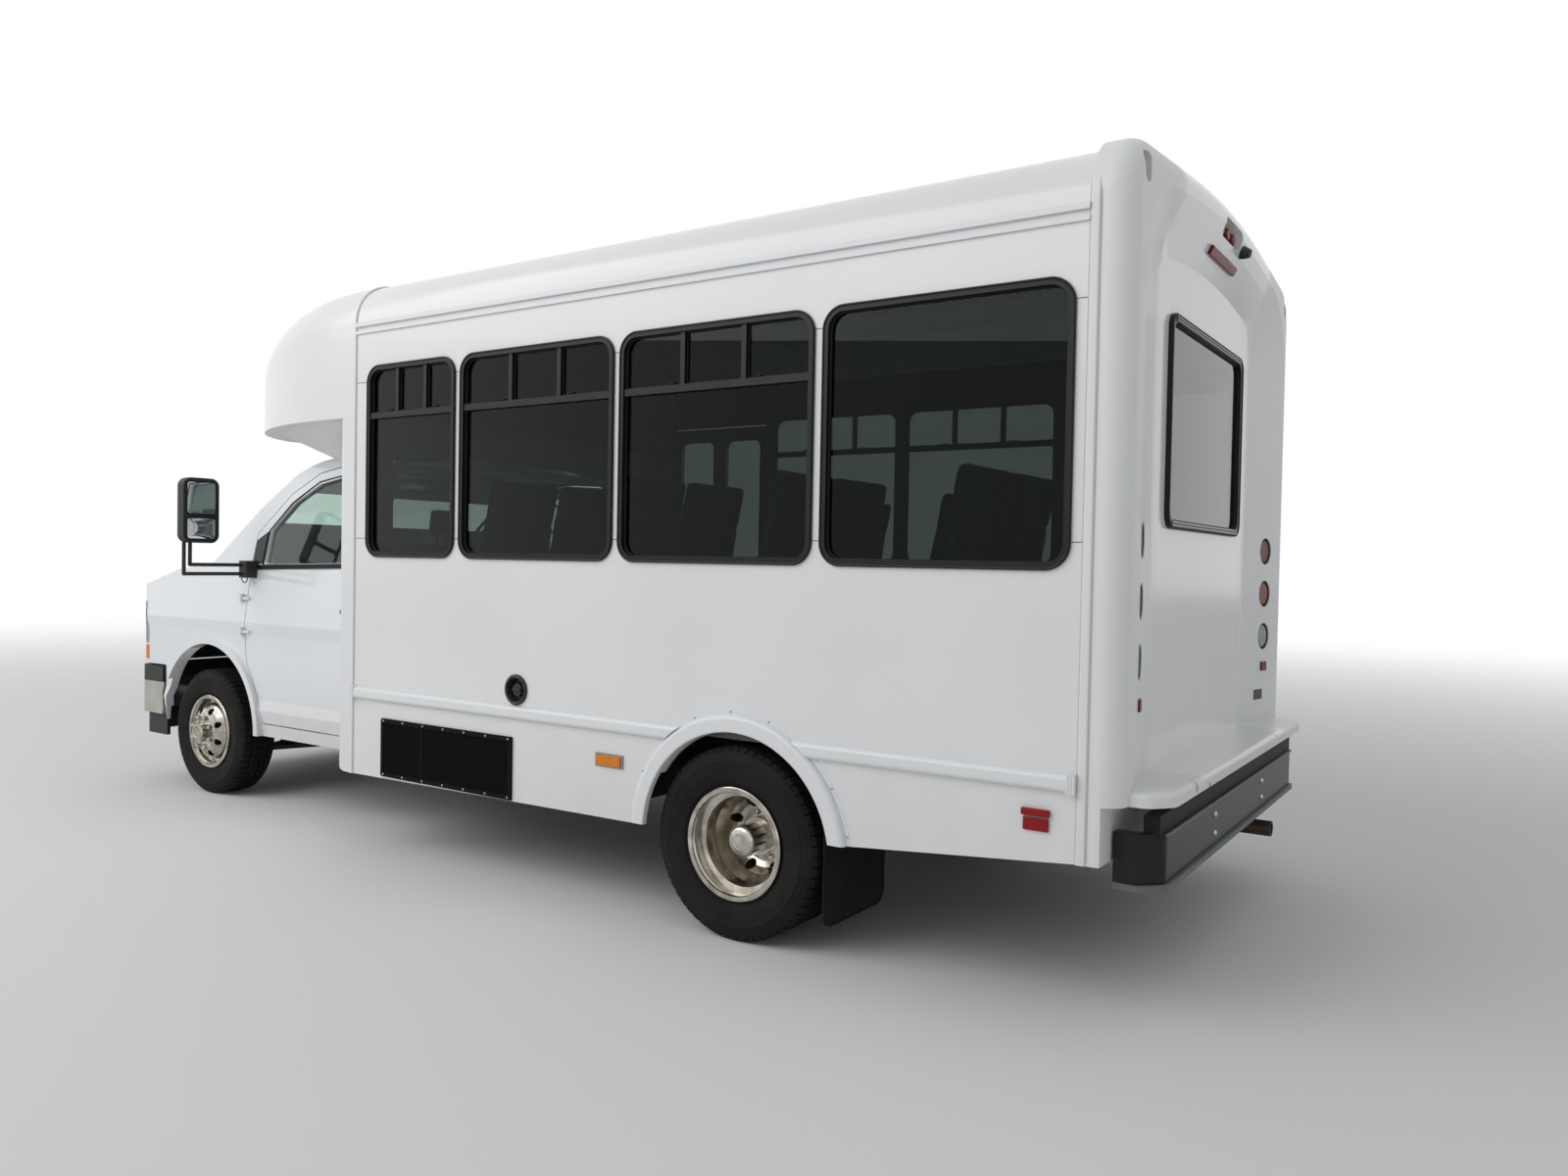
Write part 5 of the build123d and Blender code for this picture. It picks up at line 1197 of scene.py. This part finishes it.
def stuffed(outline, half, voxel):
    """A pad with a flat outline (x, z) across y, swelled by pressure as sewn cloth on foam is."""
    shape = bmesh.new()
    rings = [[shape.verts.new((x, y, z)) for x, z in outline] for y in (-half, half)]
    count = len(outline)
    for k in range(count):
        j = (k + 1) % count
        shape.faces.new((rings[0][k], rings[0][j], rings[1][j], rings[1][k]))
    shape.faces.new(rings[0][::-1])
    shape.faces.new(rings[1])
    bmesh.ops.bevel(shape, geom=shape.edges[:], offset=pad_edge, segments=3, affect="EDGES", profile=0.5)
    holder = stand("pad", mesh_of(shape))
    skin = holder.modifiers.new("skin", "REMESH")
    skin.mode = "VOXEL"
    skin.voxel_size = voxel
    even = settled(holder)
    holder.modifiers.clear()
    holder.data = even
    swelled = [v.co + v.normal * swell_limit * 0.6 for v in even.vertices]
    cover = holder.modifiers.new("cover", "CLOTH")
    cover.settings.use_pressure = True
    cover.settings.uniform_pressure_force = stuffing_pressure
    cover.settings.effector_weights.gravity = 0.0
    cover.point_cache.frame_end = sim_frames
    for step in range(1, sim_frames + 1):
        bpy.context.scene.frame_set(step)
    swelled = [v.co.copy() for v in settled(holder).vertices]
    bpy.context.scene.frame_set(1)
    holder.modifiers.clear()
    for vertex, target in zip(even.vertices, swelled):
        move = target - vertex.co
        vertex.co = vertex.co + (move.normalized() * swell_limit if move.length > swell_limit else move)
    made = bmesh.new()
    made.from_mesh(even)
    bpy.data.objects.remove(holder)
    every_way = {"use_axis_" + axis: True for axis in "xyz"}
    bmesh.ops.smooth_vert(made, verts=made.verts, factor=0.5, **every_way)
    return made


def channelled(pad, start, end, lines):
    """Presses sewn channels into a pad where a point's share from start to end meets a line."""
    run = end - start
    for vertex in pad.verts:
        share = (vertex.co - start).dot(run) / run.length_squared
        press = sum(math.exp(-(((share - line) * run.length / channel_width) ** 2)) for line in lines)
        vertex.co -= vertex.normal * channel_depth * press


def piped(pad, path, across):
    """A cord of piping laid round a pad on its real surface."""
    skin = BVHTree.FromBMesh(pad)
    laid = []
    for point in path:
        spot = skin.find_nearest(Vector(point))[0]
        if not laid or (spot - laid[-1]).length > piping_radius * 2.5:
            laid.append(spot)
    cord = bmesh.new()
    swept(cord, laid, across, piping_radius, True, 6)
    return cord


def seat_pads(title, node, width, cushion, back, voxel, places, lines):
    """Cushions and backs of one kind of seat, with their piping, as padded pieces."""
    half = width / 2 - 0.010
    front, rear = cushion[0][0], cushion[1][0]
    pads = stuffed(cushion, half, voxel)
    channelled(pads, Vector((front, 0, 0)), Vector((rear, 0, 0)), (0.28,))
    flat = rounded_box(front, rear, -half, half, 0.03)
    cords = piped(pads, [(p[0], p[1] * 1.1, cushion[2][1] - 0.012) for p in flat], (0, 0, 1))
    rest = stuffed(back, half, voxel)
    start, end = (Vector((x, 0, z)) for x, z in (back[0], back[-1]))
    channelled(rest, start, end, lines)
    lean = end - start
    out_of = Vector((lean.z, 0, -lean.x)).normalized()
    edge = rounded_box(0, lean.length, -half, half, 0.03)
    path = [start + out_of * 0.010 + lean.normalized() * p[0] + Vector((0, p[1] * 1.1, 0)) for p in edge]
    cords_back = piped(rest, path, out_of)
    for part, pad in (("_cushions", pads), ("_backs", rest)):
        made = piece(title + part, copies(pad, places), cloth, smooth=180)
        if pad is pads:
            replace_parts(made, node)
    for part, cord in (("_cushion_piping", cords), ("_back_piping", cords_back)):
        piece(title + part, copies(cord, places), glazing, smooth=180)


seat_pads(
    "bench", "passenger_seats", 0.428, [(0.008, 1.190), (0.422, 1.190), (0.422, 1.270), (0.008, 1.270)],
    [(0.388, 1.290), (0.462, 1.290), (0.552, 1.792), (0.498, 1.792)], 0.014,
    [Matrix.Translation((front_axle + x, side * y, 0)) for side, x in seat_rows for y in seat_centres],
    (0.30, 0.62),
)
cab_places = [Matrix.Translation((front_axle, side * cab_seat_y, 0)) for side in (-1, 1)]
seat_pads(
    "cab_seat", "cab_seats", 0.486, [(0.940, 0.960), (1.420, 0.960), (1.420, 1.050), (0.940, 1.050)],
    [(1.360, 1.072), (1.432, 1.072), (1.500, 1.500), (1.440, 1.500)], 0.013, cab_places, (0.35, 0.75),
)
headrests = stuffed([(1.466, 1.545), (1.516, 1.545), (1.532, 1.690), (1.488, 1.690)], 0.115, 0.012)
piece("cab_headrests", copies(headrests, cab_places), cloth, smooth=180)

# Seat frames: each bench stands on two bent steel tubes with foot plates, powder coated; the
# cab seats stand on ribbed steel boxes, with two posts to each headrest.
floor_height, leg_y, leg_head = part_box("body_floor")[1].z, (0.410, 1.090), 1.162
box_x, box_y, box_z = (0.970, 1.390), (0.250, 0.680), (0.7165, 0.935)
rib_count, rib_pitch = 4, 0.100
legs = bmesh.new()
for side, x in seat_rows:
    for centre in (front_axle + x + 0.100, front_axle + x + 0.340):
        run = [
            (leg_y[0], floor_height + 0.002), (leg_y[0], leg_head), (leg_y[1], leg_head),
            (leg_y[1], floor_height + 0.002),
        ]
        flat = rounded(run, [0, 0.05, 0.05, 0], False, 5)
        swept(legs, [(centre, side * p[0], p[1]) for p in flat], (1, 0, 0), 0.016, sides=10)
        for y in leg_y:
            block(
                legs, (centre - 0.019, side * y - 0.03, floor_height + 0.0005),
                (centre + 0.019, side * y + 0.03, floor_height + 0.006),
            )
piece("bench_legs", legs, powder)
boxes = bmesh.new()
for side in (-1, 1):
    inner, outer = (side * y for y in box_y[::side])
    block(boxes, (front_axle + box_x[0], inner, box_z[0]), (front_axle + box_x[1], outer, box_z[1]))
    for k in range(rib_count):
        x = front_axle + 1.020 + k * rib_pitch
        block(boxes, (x, inner - 0.006, 0.735), (x + 0.030, outer + 0.006, 0.920))
    for y in (side * cab_seat_y - 0.05, side * cab_seat_y + 0.05):
        swept(boxes, [(front_axle + 1.470, y, 1.470), (front_axle + 1.492, y, 1.570)], (0, 1, 0), 0.006)
piece("cab_seat_bases", boxes, powder, bevel=0.003)

# Studio floor: a wide sheet of pale matt paper that takes the bus's soft shadow; away from the
# bus it fades into the white surround.
floor_half, fade_start, fade_end = 60.0, 4.0, 22.0
sheet = bpy.data.meshes.new("studio_floor")
spots = [(x * floor_half, y * floor_half, 0) for x, y in ((-1, -1), (1, -1), (1, 1), (-1, 1))]
sheet.from_pydata(spots, [], [(0, 1, 2, 3)])
# Matt white with no sheen.
pale = finish("studio paper pale", "E6E5E3", Roughness=0.9)
tree = pale.node_tree
place = add(tree, "ShaderNodeTexCoord").outputs["Object"]
reach = add(tree, "ShaderNodeVectorMath", [(place, 0)], operation="LENGTH")
fade = add(
    tree, "ShaderNodeMapRange", [(reach.outputs["Value"], "Value")], interpolation_type="SMOOTHSTEP",
    From_Min=fade_start, From_Max=fade_end,
)
glow = add(tree, "ShaderNodeEmission", Color=shade("FFFFFF"), Strength=1.0)
seen = add(tree, "ShaderNodeLightPath").outputs["Is Camera Ray"]
faded = add(tree, "ShaderNodeMath", [(fade, 0), (seen, 1)], operation="MULTIPLY")
feeds = [(faded, "Fac"), (tree.nodes["Principled BSDF"], 1), (glow, 2)]
blend = add(tree, "ShaderNodeMixShader", feeds)
tree.links.new(blend.outputs["Shader"], tree.nodes["Material Output"].inputs["Surface"])
sheet.materials.append(pale)
stand("studio_floor", sheet)

# Light: a broad soft panel high on the left, as a bright overcast sky, and a surround that
# lights the bus with grey and is white where it is seen.
lamp_spot, lamp_target = Vector((-5.0, -9.0, 8.0)), Vector((0, 0, 1.2))
panel_light = bpy.data.lights.new("sky_panel", "AREA")
panel_light.shape = "RECTANGLE"
panel_light.size, panel_light.size_y = 12.0, 8.0
panel_light.energy = 640.0
lamp = stand("sky_panel", panel_light)
aim = (lamp_target - lamp_spot).to_track_quat("-Z", "Y")
lamp.matrix_world = Matrix.Translation(lamp_spot) @ aim.to_matrix().to_4x4()
world = bpy.data.worlds.new("studio_surround")
bpy.context.scene.world = world
world.use_nodes = True
tree = world.node_tree
tree.nodes.clear()
path = add(tree, "ShaderNodeLightPath").outputs
grey = add(tree, "ShaderNodeBackground", Color=shade("D9DCDF"), Strength=0.68)
white = add(tree, "ShaderNodeBackground", Color=shade("FFFFFF"), Strength=1.0)
shown = path["Is Camera Ray"]
for kind in ("Is Transmission Ray", "Is Glossy Ray"):
    shown = add(tree, "ShaderNodeMath", [(shown, 0), (path[kind], 1)], operation="MAXIMUM")
mix = add(tree, "ShaderNodeMixShader", [(shown, "Fac"), (grey, 1), (white, 2)])
add(tree, "ShaderNodeOutputWorld", [(mix, "Surface")])
bpy.context.scene.view_settings.view_transform = "Standard"

# Camera: a wide lens to the left of the rear corner at head height, turned and tilted as the
# picture's own view was fitted.
camera_spot = (4.155, -4.610, 1.433)
turn, tilt, roll = (math.radians(v) for v in (33.93, -1.30, 1.064))
ahead = Vector((-math.sin(turn) * math.cos(tilt), math.cos(turn) * math.cos(tilt), math.sin(tilt)))
right = Vector((math.cos(turn), math.sin(turn), 0))
up = right.cross(ahead)
right, up = right * math.cos(roll) + up * math.sin(roll), up * math.cos(roll) - right * math.sin(roll)
optics = bpy.data.cameras.new("photo_camera")
optics.sensor_width, optics.lens = 36.0, 25.9
camera = stand("photo_camera", optics)
camera.matrix_world = Matrix.Translation(camera_spot) @ Matrix((right, up, -ahead)).transposed().to_4x4()
bpy.context.scene.camera = camera
